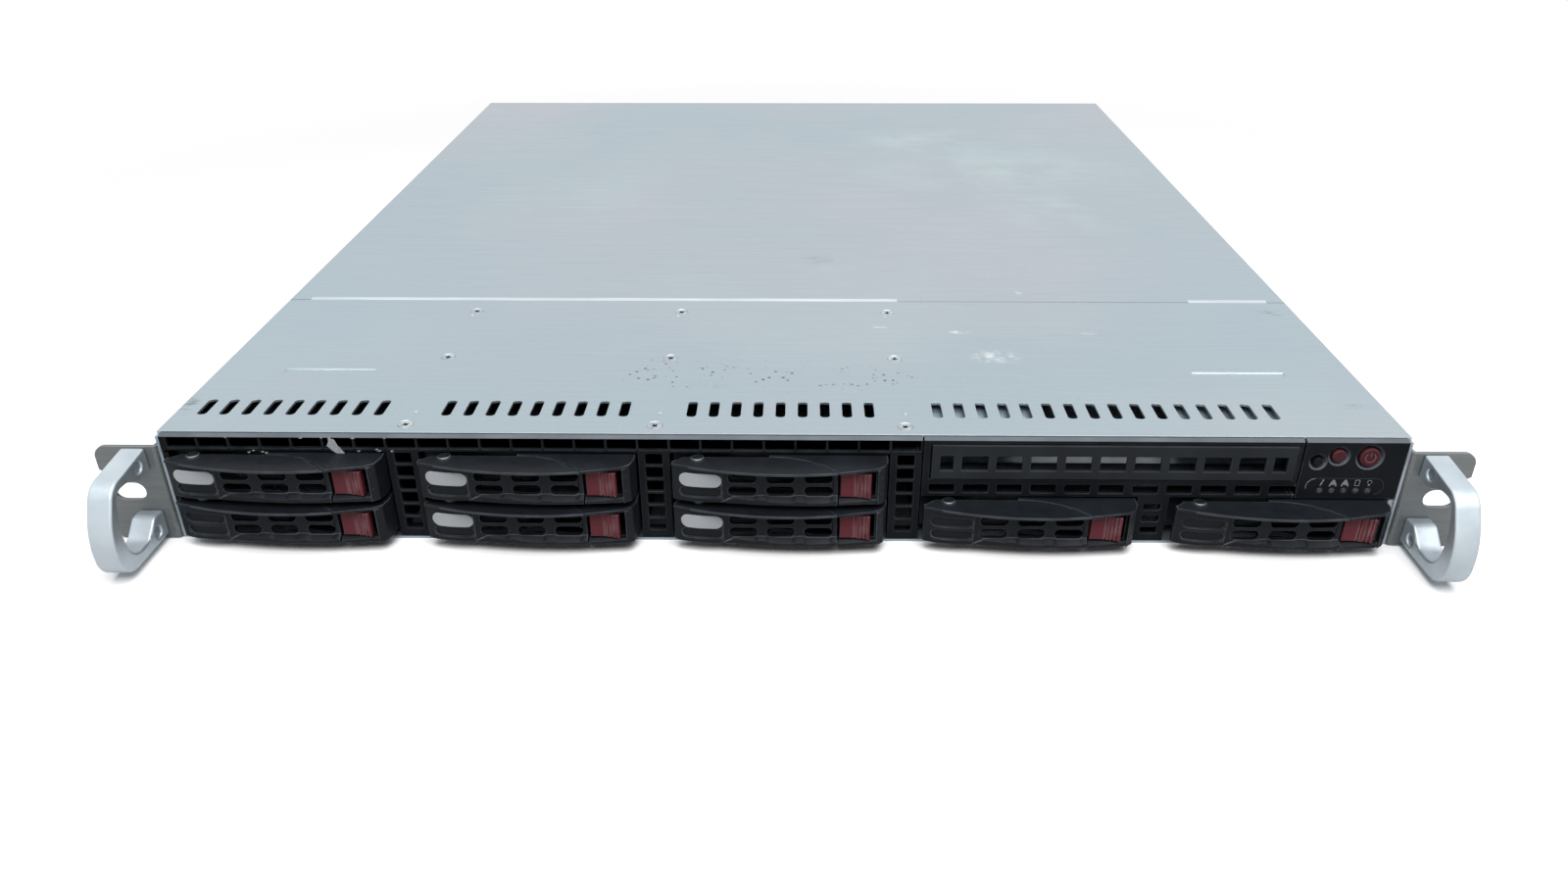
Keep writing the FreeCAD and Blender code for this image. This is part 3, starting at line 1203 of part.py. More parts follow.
def build():
    """Every piece by name, in the modelling frame."""
    pieces = {
        "chassis_tray": chassis_tray(),
        "front_top_panel": front_top_panel(),
        "top_cover": top_cover(),
        "front_grille": front_grille(),
        "optical_bay_blank": optical_bay_blank(),
        "control_panel": control_panel(),
        "status_light_pipes": status_light_pipes(),
        "drive_cage": drive_cage(),
        "drive_backplane": drive_backplane(),
        "left_rack_ear": rack_ear(LEFT),
        "right_rack_ear": rack_ear(RIGHT),
        "left_handle": handle(LEFT),
        "right_handle": handle(RIGHT),
        "fan_frames": Part.makeCompound([fan_frame(x) for x in FAN_XS]),
        "motherboard": motherboard(),
        "cpu_heat_sink": cpu_heat_sink(),
        "memory_modules": memory_modules(),
        "rear_connectors": rear_connectors(),
        "expansion_slot_cover": expansion_slot_cover(),
        "power_supply": power_supply(),
        "internal_cables": internal_cables(),
    }
    for name in BUTTONS:
        pieces[name] = panel_button(name)
    for i, x in enumerate(FAN_XS):
        shaft_end = FAN_FRONT + FAN_DEPTH - SHAFT_SHORT
        pieces[f"fan_rotor_{i + 1}"] = fan_rotor(x, FAN_CENTRE_Z, FAN_FRONT, shaft_end)
    well = SUPPLY_REAR - SUPPLY_FAN_WELL
    shaft_end = well - MOTOR_DEPTH + SHAFT_SHORT
    pieces["supply_fan_rotor"] = fan_rotor(SUPPLY_FAN_X, SUPPLY_FAN_Z, well, shaft_end)
    carrier = {
        "tray": carrier_tray(),
        "lever": carrier_lever(),
        "latch": carrier_latch(),
        "drive": carrier_drive(),
    }
    for number, place in enumerate(bays(), start=1):
        for name, shape in carrier.items():
            pieces[f"carrier_{number}_{name}"] = shape.translated(place)
    return pieces


def main():
    """Every piece is moved so that the origin is under the middle of the whole object."""
    os.makedirs("parts", exist_ok=True)
    pieces = build()
    box = Part.makeCompound(list(pieces.values())).BoundBox
    to_middle = Y * (-(box.YMin + box.YMax) / 2)
    for name, shape in pieces.items():
        shape.translated(to_middle).exportStep(f"parts/{name}.step")


main()
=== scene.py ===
import math
import random

import bmesh
import bpy
from mathutils import Matrix, Vector


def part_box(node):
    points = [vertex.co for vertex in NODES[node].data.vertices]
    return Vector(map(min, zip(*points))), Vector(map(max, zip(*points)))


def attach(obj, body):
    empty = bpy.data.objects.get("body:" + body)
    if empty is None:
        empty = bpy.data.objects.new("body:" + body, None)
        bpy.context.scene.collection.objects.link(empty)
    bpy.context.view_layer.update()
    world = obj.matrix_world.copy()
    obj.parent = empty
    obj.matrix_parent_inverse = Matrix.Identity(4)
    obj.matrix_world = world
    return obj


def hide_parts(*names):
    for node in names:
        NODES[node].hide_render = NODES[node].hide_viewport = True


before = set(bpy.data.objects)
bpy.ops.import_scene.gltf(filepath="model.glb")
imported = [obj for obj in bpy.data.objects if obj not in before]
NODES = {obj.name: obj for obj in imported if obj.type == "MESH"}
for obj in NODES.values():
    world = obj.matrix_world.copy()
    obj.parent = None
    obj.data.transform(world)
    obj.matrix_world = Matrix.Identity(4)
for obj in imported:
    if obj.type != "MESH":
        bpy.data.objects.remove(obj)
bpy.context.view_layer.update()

# Shapes are worked out in millimetres: x across from the middle, y back from the grille's front plane, z up.
MM = 0.001
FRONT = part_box("front_grille")[0].y
FRONT_LEFT, FRONT_RIGHT = (corner.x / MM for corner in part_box("front_grille"))
HALF_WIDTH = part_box("chassis_tray")[1].x / MM
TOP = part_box("front_top_panel")[1].z / MM

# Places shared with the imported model
COLUMN_PITCH = 88.4
COLUMN_XS = [(i - 2) * COLUMN_PITCH for i in range(5)]
STACKED_XS = COLUMN_XS[:3]  # the columns with two carriers each
DIVIDER = COLUMN_PITCH / 2  # from a column's middle to the divider on its right
BAY_BASE = 4.0
BAY_PITCH = 17.0
BAY_HALF = 38.6
BAY_TOP = 36.3
LOW_BAY_TOP = 19.4
CARRIERS = [(0, 1), (0, 0), (1, 1), (1, 0), (2, 1), (2, 0), (3, 0), (4, 0)]  # each one's column and row
NUMBERS = range(1, len(CARRIERS) + 1)
LABELLED = (1, 3, 4, 5, 6)
SHEET = 1.0
UNDER = TOP - SHEET  # the underside of the top's sheets
GAP = 0.4

# Allowances for cutting and joining
PAST = 1.0  # how far a cutter runs on past what it cuts
LAP = 0.1  # how far pieces that are joined overlap or stop short of a face
SKIM = 0.01  # a step off a face, so that two faces don't lie in one plane

random.seed(8)


def at(x, y, z):
    """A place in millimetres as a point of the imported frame."""
    return Vector((x * MM, FRONT + y * MM, z * MM))


def carrier_place(number):
    """Where a carrier's own zero sits, in millimetres."""
    column, row = CARRIERS[number - 1]
    return COLUMN_XS[column], 0.0, BAY_BASE + row * BAY_PITCH


def colour(levels):
    """A screen colour, three levels from 0 to 255, as the shader's own linear values."""
    values = []
    for level in levels:
        share = level / 255
        values.append(share / 12.92 if share <= 0.04045 else ((share + 0.055) / 1.055) ** 2.4)
    return (*values, 1.0)


# Outlines: lists of 2-D points

def steps_between(start, end, step):
    """Evenly spaced places from start to end."""
    count = max(1, round((end - start) / step))
    return [start + (end - start) * i / count for i in range(count + 1)]


def row(start, pitch, count):
    """Evenly spaced places from a start."""
    return [start + pitch * i for i in range(count)]


def spread(count, pitch, middle):
    """Evenly spaced places about a middle."""
    return [middle + (i - (count - 1) / 2) * pitch for i in range(count)]


def arc(centre, radius, start, end, steps):
    """Points along an arc, in degrees."""
    points = []
    for i in range(steps + 1):
        angle = math.radians(start + (end - start) * i / steps)
        points.append((centre[0] + radius * math.cos(angle), centre[1] + radius * math.sin(angle)))
    return points


def circle(centre, radius, flats=45):
    """A closed round outline."""
    return arc(centre, radius, 0, 360 - 360 / flats, flats - 1)


def ring_part(centre, radius, width, start, end, steps=24):
    """Part of a thin flat ring, in degrees."""
    outer = arc(centre, radius + width / 2, start, end, steps)
    return outer + arc(centre, radius - width / 2, end, start, steps)


def rectangle(x, y):
    """A rectangle between two (low, high) pairs."""
    return [(x[0], y[0]), (x[1], y[0]), (x[1], y[1]), (x[0], y[1])]


def rounded_rectangle(centre, size, radius, steps=6):
    """A rectangle with round corners."""
    across, up = size[0] / 2 - radius, size[1] / 2 - radius
    points = []
    for i, (a, b) in enumerate(((1, 1), (-1, 1), (-1, -1), (1, -1))):
        middle = (centre[0] + a * across, centre[1] + b * up)
        points += arc(middle, radius, 90 * i, 90 * i + 90, steps)
    return points


def rounded_path(corners, step=6.0):
    """A closed outline of (x, y, radius) corners, each an arc that runs on from its sides."""
    spots = [Vector(corner[:2]) for corner in corners]
    points = []
    for i, corner in enumerate(spots):
        radius = corners[i][2]
        if radius == 0:
            points.append(tuple(corner))
            continue
        before = (spots[i - 1] - corner).normalized()
        after = (spots[(i + 1) % len(spots)] - corner).normalized()
        half = before.angle(after) / 2
        centre = corner + (before + after).normalized() * (radius / math.sin(half))
        reach = radius / math.tan(half)
        first = corner + before * reach - centre
        turn = first.angle_signed(corner + after * reach - centre)
        flats = max(1, math.ceil(abs(math.degrees(turn)) / step))
        for j in range(flats + 1):
            points.append(tuple(centre + Matrix.Rotation(-turn * j / flats, 2) @ first))
    return points


# Solids: bmesh work in millimetres

def add_loft(work, sections, closed=False):
    """Skins a row of equal rings of 3-D points, with a cap at each end unless the row closes on itself."""
    rings = [[work.verts.new(p) for p in ring] for ring in sections]
    pairs = list(zip(rings, rings[1:]))
    if closed:
        pairs.append((rings[-1], rings[0]))
    else:
        work.faces.new(rings[0])
        work.faces.new(rings[-1])
    for one, other in pairs:
        for i in range(len(one)):
            work.faces.new((one[i - 1], one[i], other[i], other[i - 1]))


def add_prism(work, outline, axis, low, high):
    """An outline swept along an axis. The outline gives the other two coordinates in order."""
    along = "xyz".index(axis)
    add_loft(work, [[(*p[:along], level, *p[along:]) for p in outline] for level in (low, high)])


def add_lathe(work, profile, x, z, steps=48):
    """A profile of (radius, y) turned about an axis that runs from front to back."""
    rings = []
    for i in range(steps):
        angle = 2 * math.pi * i / steps
        rings.append([(x + r * math.cos(angle), y, z + r * math.sin(angle)) for r, y in profile])
    add_loft(work, rings, closed=True)
    bmesh.ops.remove_doubles(work, verts=work.verts, dist=1e-5)


def add_cone(work, place, radii, depth, flats):
    """An upright cone about a place, with its lower radius first."""
    bmesh.ops.create_cone(work, cap_ends=True, segments=flats, radius1=radii[0], radius2=radii[1],
                          depth=depth, matrix=Matrix.Translation(place))


def new_object(name, work):
    """A linked object from a bmesh, with its faces turned outwards."""
    bmesh.ops.recalc_face_normals(work, faces=work.faces)
    mesh = bpy.data.meshes.new(name)
    work.to_mesh(mesh)
    work.free()
    return link(name, mesh)


def link(name, data):
    """An object in the scene."""
    made = bpy.data.objects.new(name, data)
    bpy.context.scene.collection.objects.link(made)
    return made


def solid(name, prisms):
    """One object from several (outline, axis, low, high) prisms that stand apart."""
    work = bmesh.new()
    for prism in prisms:
        add_prism(work, *prism)
    return new_object(name, work)


def lofted(name, *lofts):
    """One object from several rows of rings that stand apart."""
    work = bmesh.new()
    for sections in lofts:
        add_loft(work, sections)
    return new_object(name, work)


def join_islands(base, other):
    """Adds another object's faces to the base and leaves both shapes as they are. The other object goes."""
    work = bmesh.new()
    work.from_mesh(base.data)
    work.from_mesh(other.data)
    work.to_mesh(base.data)
    work.free()
    bpy.data.objects.remove(other)


def combine(base, tool, operation):
    """Cuts the base object by, joins it to or trims it to a tool, which goes."""
    step = base.modifiers.new("combine", "BOOLEAN")
    step.object = tool
    step.operation = operation
    step.solver = "EXACT"
    made = base.evaluated_get(bpy.context.evaluated_depsgraph_get())
    mesh = bpy.data.meshes.new_from_object(made)
    base.modifiers.clear()
    base.data = mesh
    bpy.data.objects.remove(tool)


def cut(base, *tools):
    """Takes tools out of the base object, one after the other."""
    for tool in tools:
        combine(base, tool, "DIFFERENCE")


def paint_faces(piece, materials, pick):
    """Gives a piece several finishes. pick(centre, direction) says by number which one a face has."""
    for material in materials:
        piece.data.materials.append(material)
    for polygon in piece.data.polygons:
        polygon.material_index = int(pick(polygon.center, polygon.normal))


def soften(piece, width, segments=2, angle=32.0):
    """Rounds a piece's edges and shades its curves smooth."""
    for polygon in piece.data.polygons:
        polygon.use_smooth = True
    piece.data.set_sharp_from_angle(angle=math.radians(angle))
    if width:
        bevel = piece.modifiers.new("round edges", "BEVEL")
        bevel.width = width * MM
        bevel.segments = segments
        bevel.limit_method = "ANGLE"
        bevel.angle_limit = math.radians(angle)
        bevel.use_clamp_overlap = False
        bevel.harden_normals = True


def settle(piece, body, material, edge=0.0, origin=(0, 0, 0), replaces=(), segments=2, angle=32.0):
    """Brings a piece from millimetres to its place in the frame and gives it its body and finish."""
    piece.data.transform(Matrix.Scale(MM, 4))
    piece.location = at(*origin)
    if not piece.data.materials:
        piece.data.materials.append(material)
    soften(piece, edge, segments, angle)
    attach(piece, body)
    if replaces:
        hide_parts(*replaces)


# Finishes. A colour is three screen levels or another node's output, and a scale is in cells a metre.

EDGE_TURN = (0.985, 0.8)  # cosines of the turn where an edge starts to show and where it shows fully


def plug(tree, socket, value):
    """Links a socket to another, or sets its value."""
    if isinstance(value, bpy.types.NodeSocket):
        tree.links.new(value, socket)
    else:
        socket.default_value = value


def add_node(tree, kind, inputs, **settings):
    """A shader node with some settings, and its inputs by name or number."""
    node = tree.nodes.new("ShaderNode" + kind)
    for name, value in settings.items():
        setattr(node, name, value)
    for key, value in inputs.items():
        plug(tree, node.inputs[key], value)
    return node


class Finish:
    """A material's node tree, and the few set-ups that its finishes share."""

    def __init__(self, name, metallic, roughness):
        self.material = bpy.data.materials.new(name)
        self.material.use_nodes = True
        self.tree = self.material.node_tree
        self.shader = self.tree.nodes["Principled BSDF"]
        self.surface("Metallic", metallic)
        self.surface("Roughness", roughness)
        self.coords = self.node("TexCoord", {}).outputs["Object"]
        self.normal = None

    def node(self, kind, inputs, **settings):
        """A node of this finish."""
        return add_node(self.tree, kind, inputs, **settings)

    def surface(self, name, value):
        """One of the shader's own inputs."""
        plug(self.tree, self.shader.inputs[name], value)

    def paint(self, value):
        """The surface's colour, which completes the material."""
        self.surface("Base Color", value)
        return self.material

    def stretch(self, scale):
        """Coordinates stretched along the axes."""
        return self.node("Mapping", {"Vector": self.coords, "Scale": scale}).outputs["Vector"]

    def noise(self, scale, detail=3.0, roughness=0.5, coords=None):
        """Cloudy noise."""
        inputs = {"Vector": coords or self.coords, "Scale": scale, "Detail": detail, "Roughness": roughness}
        return self.node("TexNoise", inputs).outputs["Fac"]

    def cells(self, scale):
        """Distance to scattered points."""
        return self.node("TexVoronoi", {"Vector": self.coords, "Scale": scale}).outputs["Distance"]

    def ramp(self, value, low, high, to=(0.0, 1.0)):
        """A value stretched from low..high to another range, and held there."""
        inputs = {"Value": value, "From Min": low, "From Max": high, "To Min": to[0], "To Max": to[1]}
        return self.node("MapRange", inputs).outputs["Result"]

    def times(self, one, other):
        """Two values multiplied."""
        return self.node("Math", {0: one, 1: other}, operation="MULTIPLY", use_clamp=True).outputs["Value"]

    def blend(self, share, one, other):
        """A colour between two, by a share."""
        first, second = (colour(tint) if isinstance(tint, tuple) else tint for tint in (one, other))
        return self.node("Mix", {0: share, 6: first, 7: second}, data_type="RGBA").outputs[2]

    def vector(self, operation, *values):
        """The outputs of a step of vector maths."""
        return self.node("VectorMath", dict(enumerate(values)), operation=operation).outputs

    def near(self, place, size, inner=0.0):
        """A soft spot, 1 at a place of the piece's own mesh and 0 beyond its size, both in millimetres."""
        shift = self.vector("SUBTRACT", self.coords, [p * MM for p in place])["Vector"]
        shrink = self.vector("DIVIDE", shift, [s * MM for s in size])["Vector"]
        return self.ramp(self.vector("LENGTH", shrink)["Value"], 1.0, inner)

    def edges(self, radius):
        """1 along convex and concave edges, 0 on the flats."""
        rounded = self.node("Bevel", {"Radius": radius * MM}, samples=4).outputs["Normal"]
        flat = self.node("NewGeometry", {}).outputs["Normal"]
        return self.ramp(self.vector("DOT_PRODUCT", rounded, flat)["Value"], *EDGE_TURN)

    def edge_wear_and_shading(self, radius, scale, low, high):
        """Edges tinted in patches: partly wear, partly painted highlight and shade along them."""
        return self.times(self.edges(radius), self.ramp(self.noise(scale), low, high))

    def shine(self, value, roughness, low=0.06, high=0.1, span=(0.3, 0.7)):
        """Roughness that varies with a value, from a little under its usual level to a little over."""
        self.surface("Roughness", self.ramp(value, *span, (roughness - low, roughness + high)))

    def bump(self, height, distance):
        """Adds relief, its height in millimetres."""
        inputs = {"Distance": distance * MM, "Height": height}
        if self.normal:
            inputs["Normal"] = self.normal
        self.normal = self.node("Bump", inputs).outputs["Normal"]
        self.surface("Normal", self.normal)


def moulded(name, face, high, worn, roughness, wear_and_shading_share=0.35, gloss=0.2):
    """Moulded plastic: fine spark texture, slight dust, and edges tinted in patches: partly wear, partly
    painted highlight and shade.
    """
    finish = Finish(name, 0.0, roughness)
    finish.surface("Specular IOR Level", gloss)
    base = finish.blend(finish.ramp(finish.noise(55, 4), 0.35, 0.7), face, high)
    edge_wear_and_shading = finish.edge_wear_and_shading(0.55, 120, 0.28, 0.55)
    finish.shine(finish.noise(240, 4), roughness, 0.09)
    finish.bump(finish.noise(5200, 2), 0.012)
    # The edge tint is partly wear and partly painted light: a painted highlight on the dark plastics, painted
    # shade round the pale label.
    return finish.paint(finish.blend(finish.times(edge_wear_and_shading, wear_and_shading_share), base, worn))


def sheet_steel(name, tints, roughness=0.44, marks=False):
    """Zinc-coated sheet: broad soft tints, rolling lines, fine spangle, and scuffs where it is asked for."""
    finish = Finish(name, 0.82, roughness)
    base = finish.blend(finish.ramp(finish.noise(5.0, 2), 0.38, 0.64), tints[0], tints[1])
    teal = finish.ramp(finish.noise(9.0, 4, 0.62), 0.52, 0.72)
    base = finish.blend(finish.times(teal, 0.6), base, tints[2])
    rolling = finish.noise(1.0, 3, 0.6, finish.stretch((28, 760, 760)))
    base = finish.blend(finish.ramp(rolling, 0.36, 0.72, (0.0, 0.16)), base, tints[3])
    spangle = finish.noise(900)
    base = finish.blend(finish.ramp(spangle, 0.45, 0.8, (0.0, 0.2)), base, tints[4])
    if marks:
        base = add_marks(finish, base)
    # Edges paler in patches: partly wear, partly a painted highlight.
    edge_wear_and_shading = finish.edge_wear_and_shading(0.4, 70, 0.42, 0.6)
    finish.shine(rolling, roughness, span=(0.3, 0.75))
    finish.bump(rolling, 0.006)
    finish.bump(spangle, 0.004)
    return finish.paint(finish.blend(finish.times(edge_wear_and_shading, 0.55), base, (226, 232, 235)))


# Wear on the top, as (x, y, reach across, reach back)
BLUE_CLOUDS = ((-190, 110, 120, 150), (200, 120, 70, 120))
PALE_CLOUDS = ((120, 330, 90, 60), (150, 250, 45, 40), (90, 400, 70, 40))
DARK_SPECKS = ((-2, 49, 52, 16), (-46, 50, 26, 17), (38, 46, 20, 12))
DARK_SCUFFS = ((15, 178, 9, 8), (210, 25, 9, 3.0), (-216, 23, 4, 8), (208, 113, 7, 5))
PALE_SCUFFS = ((72, 91, 6, 2.2), (84, 67, 12, 7), (126, 90, 4, 1.2), (104, 135, 2, 2), (40, 96, 5, 0.9))


def add_marks(finish, base):
    """The stains and scuffs that handling has left on the top."""
    cloud = finish.ramp(finish.noise(26, 5, 0.65), 0.4, 0.66)
    patchy = finish.ramp(finish.noise(95), 0.47, 0.56)
    specks = finish.times(finish.ramp(finish.cells(330), 0.26, 0.16), patchy)
    streak = finish.ramp(finish.noise(1.0, 4, 0.6, finish.stretch((160, 900, 900))), 0.5, 0.62)
    scratch = finish.ramp(finish.noise(300, 4), 0.42, 0.6)
    for places, depth, inner, mask, strength, tint in (
            (BLUE_CLOUDS, 40, 0.0, 1.0, 0.7, (172, 192, 201)),
            (PALE_CLOUDS, 30, 0.0, cloud, 0.55, (205, 222, 222)),
            (DARK_SPECKS, 9, 0.4, specks, 0.9, (78, 88, 94)),
            (DARK_SCUFFS, 9, 0.0, streak, 0.8, (96, 104, 110)),
            (PALE_SCUFFS, 9, 0.0, scratch, 1.0, (232, 242, 243))):
        for x, y, across, back in places:
            spot = finish.near((x, y, TOP), (across, back, depth), inner)
            base = finish.blend(finish.times(finish.times(spot, mask), strength), base, tint)
    return base


def cast_metal(name, face, high, roughness):
    """Blasted cast metal: fine grain, and edges painted paler: partly polish, partly a painted highlight."""
    finish = Finish(name, 0.7, roughness)
    base = finish.blend(finish.ramp(finish.noise(60, 4), 0.35, 0.68), face, high)
    edge_wear_and_shading = finish.edge_wear_and_shading(0.6, 90, 0.4, 0.62)
    specks = finish.ramp(finish.cells(260), 0.07, 0.04)
    base = finish.blend(finish.times(specks, 0.35), base, (98, 104, 110))
    finish.shine(finish.noise(420), roughness, high=0.08)
    finish.bump(finish.noise(2600, 2), 0.02)
    return finish.paint(finish.blend(finish.times(edge_wear_and_shading, 0.4), base, (228, 233, 237)))


def bright_metal(name, face, high, roughness, lines=(300, 300, 2400)):
    """Plated metal with fine tool lines."""
    finish = Finish(name, 1.0, roughness)
    drawn = finish.noise(1.0, 2, 0.5, finish.stretch(lines))
    finish.shine(drawn, roughness)
    finish.bump(drawn, 0.004)
    return finish.paint(finish.blend(finish.ramp(drawn, 0.35, 0.7), face, high))


def circuit_board(name):
    """Solder mask with faint tracks and pads."""
    finish = Finish(name, 0.0, 0.38)
    tracks = finish.ramp(finish.cells(230), 0.08, 0.05)
    base = finish.blend(finish.ramp(finish.noise(180, 4), 0.4, 0.62), (22, 62, 44), (30, 84, 58))
    finish.bump(finish.noise(700), 0.02)
    return finish.paint(finish.blend(finish.times(tracks, 0.6), base, (178, 160, 96)))


def clear_plastic(name):
    """A light pipe: clear, faintly clouded."""
    finish = Finish(name, 0.0, 0.18)
    finish.surface("Transmission Weight", 0.55)
    cloud = finish.ramp(finish.noise(900), 0.35, 0.7)
    return finish.paint(finish.blend(cloud, (120, 126, 130), (168, 174, 178)))


def torn_paper(name):
    """What a torn sticker leaves: pale fibres."""
    finish = Finish(name, 0.0, 0.85)
    fibre = finish.noise(1800, 4, 0.7)
    finish.bump(fibre, 0.08)
    return finish.paint(finish.blend(finish.ramp(fibre, 0.35, 0.65), (176, 184, 188), (232, 236, 237)))


STEEL_TINTS = ((176, 191, 199), (187, 193, 201), (183, 200, 204), (162, 173, 181), (198, 207, 212))
DULL_TINTS = ((128, 133, 134), (139, 142, 143), (132, 138, 139), (113, 117, 119), (151, 155, 157))
top_steel = sheet_steel("top_steel", STEEL_TINTS, marks=True)
steel = sheet_steel("chassis_steel", STEEL_TINTS)
handle_silver = cast_metal("handle_silver", (198, 210, 218), (214, 224, 231), 0.42)
black = moulded("black_plastic", (27, 30, 34), (36, 39, 44), (132, 141, 149), 0.46, 0.75, 0.08)
carrier_black = moulded("carrier_plastic", (27, 30, 35), (36, 40, 46), (142, 151, 160), 0.42, 0.8, 0.16)
# A lighter black for the levers' roof fronts: a painted highlight.
lever_brow_highlight = moulded("lever_brow_highlight_plastic", (66, 72, 79), (88, 95, 103), (150, 159, 167), 0.4, 0.6, 0.12)
blank_black = moulded("blank_plastic", (51, 54, 58), (61, 65, 70), (126, 134, 141), 0.5, 0.6, 0.07)
# A lighter black for upward bevels and the buttons' bore cones: a painted highlight.
bevel_highlight_black = moulded("bevel_highlight_plastic", (112, 120, 128), (134, 142, 150), (170, 178, 185), 0.5, 0.5, 0.1)
burgundy = moulded("burgundy_plastic", (110, 44, 54), (126, 57, 67), (206, 180, 184), 0.36, 0.5)
button_red = moulded("button_red", (84, 41, 48), (98, 53, 60), (176, 146, 152), 0.4, 0.5, 0.12)
rose = moulded("rose_print", (138, 92, 99), (154, 106, 113), (180, 144, 150), 0.5)
deep_black = moulded("deep_black", (8, 9, 10), (14, 15, 17), (46, 50, 54), 0.5)
label_plate = moulded("label_plate", (214, 220, 226), (230, 235, 239), (120, 126, 132), 0.42)
screw_metal = bright_metal("screw_metal", (168, 176, 182), (212, 218, 222), 0.3)
pin_metal = bright_metal("pin_metal", (118, 124, 129), (150, 156, 161), 0.55)
pin_dark = bright_metal("pin_dark", (58, 63, 69), (84, 90, 96), 0.5)
shelf_zinc = moulded("shelf_zinc", (205, 211, 215), (222, 227, 230), (236, 239, 241), 0.5)
ear_steel = sheet_steel("ear_steel", DULL_TINTS, 0.56)
# A brighter metal for the cover's hem and the stamped lines' steps: a painted highlight.
hem_highlight_metal = bright_metal("hem_highlight_metal", (214, 224, 229), (238, 244, 246), 0.26, (30, 900, 900))
sink_metal = bright_metal("sink_metal", (178, 182, 186), (204, 207, 210), 0.36)
port_metal = bright_metal("port_metal", (170, 172, 172), (206, 208, 208), 0.3)
drive_metal = cast_metal("drive_metal", (131, 135, 139), (141, 145, 149), 0.46)
supply_steel = sheet_steel("supply_steel", STEEL_TINTS, 0.5)
board_green = circuit_board("board_green")
fan_black = moulded("fan_plastic", (16, 17, 19), (26, 28, 31), (70, 76, 80), 0.5)
ribbon_grey = moulded("ribbon_grey", (120, 122, 126), (150, 152, 156), (170, 172, 176), 0.55)
clear = clear_plastic("clear_plastic")
smoked = moulded("smoked_plastic", (18, 20, 23), (28, 31, 35), (76, 82, 88), 0.16)
paper = torn_paper("torn_paper")
print_white = moulded("print_white", (150, 155, 160), (176, 181, 186), (200, 204, 207), 0.6)
print_grey = moulded("print_grey", (58, 62, 66), (76, 80, 85), (96, 100, 104), 0.6)


# Stage: floor, world, lamp and camera

WORLD_LIGHT = 0.12
FLOOR_HALF = 30.0  # metres, as for the lamp and the clip distances
FLOOR_SEEN = 1.5  # the lit floor reaches white, and its shadow stays
FLOOR_MIRRORED = 0.95
FLOOR_BOUNCE = 0.3
FLOOR_MIDDLE = (0.0, FRONT / MM + 170.0, 0.0)
FLOOR_REACH = 620.0  # where the floor has turned to even white, and the share of that where it starts to
FLOOR_INNER = 0.6
LAMP_PLACE = (0.15, -0.95, 1.85)
LAMP_AIM = (0.0, -0.15, 0.0)
LAMP_SIZE = 1.8
LAMP_POWER = 40
LENS = 26.88
SENSOR = 36.0
CLIP = (0.01, 200)
CAMERA_PLACE = (7.3, -355.8, 237.5)
CAMERA_DOWN = math.radians(28.858)
CAMERA_TURN = math.radians(-0.925)
CAMERA_ROLL = math.radians(-0.147)


def ray_level(tree, bounced, seen, mirrored):
    """A level that depends on the ray: bounced light, the camera's own view, or what gloss and glass show."""
    path = add_node(tree, "LightPath", {}).outputs
    direct = add_node(tree, "MapRange", {"Value": path["Is Camera Ray"], "To Min": bounced, "To Max": seen})
    mirrors = {0: path["Is Glossy Ray"], 1: path["Is Transmission Ray"]}
    either = add_node(tree, "Math", mirrors, operation="MAXIMUM")
    levels = {0: either.outputs["Value"], 2: direct.outputs["Result"], 3: mirrored}
    return add_node(tree, "Mix", levels, data_type="FLOAT").outputs[0]


def make_floor():
    """A plain white floor that keeps the object's shadow and is even white further out."""
    work = bmesh.new()
    side = (-FLOOR_HALF, FLOOR_HALF)
    work.faces.new([work.verts.new((x, y, 0)) for x, y in rectangle(side, side)])
    floor = new_object("floor", work)
    finish = Finish("floor_white", 0.0, 0.9)
    tree = finish.tree
    near = finish.node("BsdfDiffuse", {"Color": ray_level(tree, FLOOR_BOUNCE, FLOOR_SEEN, FLOOR_MIRRORED)})
    far = finish.node("Emission", {"Strength": ray_level(tree, WORLD_LIGHT, 1.0, 1.0)})
    share = finish.near(FLOOR_MIDDLE, [FLOOR_REACH] * 3, FLOOR_INNER)
    both = finish.node("MixShader", {0: share, 1: far.outputs["Emission"], 2: near.outputs["BSDF"]})
    plug(tree, tree.nodes["Material Output"].inputs["Surface"], both.outputs["Shader"])
    tree.nodes.remove(finish.shader)
    floor.data.materials.append(finish.material)


def make_world():
    """White where it is seen, dimmer as a light."""
    world = bpy.data.worlds.new("studio")
    bpy.context.scene.world = world
    world.use_nodes = True
    tree = world.node_tree
    background = tree.nodes["Background"].inputs
    plug(tree, background["Color"], (1, 1, 1, 1))
    plug(tree, background["Strength"], ray_level(tree, WORLD_LIGHT, 1.0, 1.0))


def make_lamp():
    """A square soft lamp overhead."""
    data = bpy.data.lights.new("overhead", "AREA")
    data.size = LAMP_SIZE
    data.energy = LAMP_POWER
    lamp = link("overhead", data)
    lamp.location = LAMP_PLACE
    lamp.rotation_euler = (Vector(LAMP_AIM) - Vector(LAMP_PLACE)).to_track_quat("-Z", "Y").to_euler()


def make_camera():
    """The photograph's own viewpoint."""
    data = bpy.data.cameras.new("camera")
    data.lens = LENS
    data.sensor_width = SENSOR
    data.sensor_fit = "HORIZONTAL"
    data.clip_start, data.clip_end = CLIP
    camera = link("camera", data)
    turn = Matrix.Rotation(-CAMERA_TURN, 4, "Z")
    tilt = Matrix.Rotation(math.pi / 2 - CAMERA_DOWN, 4, "X")
    roll = Matrix.Rotation(CAMERA_ROLL, 4, "Z")
    camera.matrix_world = Matrix.Translation(at(*CAMERA_PLACE)) @ turn @ tilt @ roll
    bpy.context.scene.camera = camera


# The drive carriers' levers

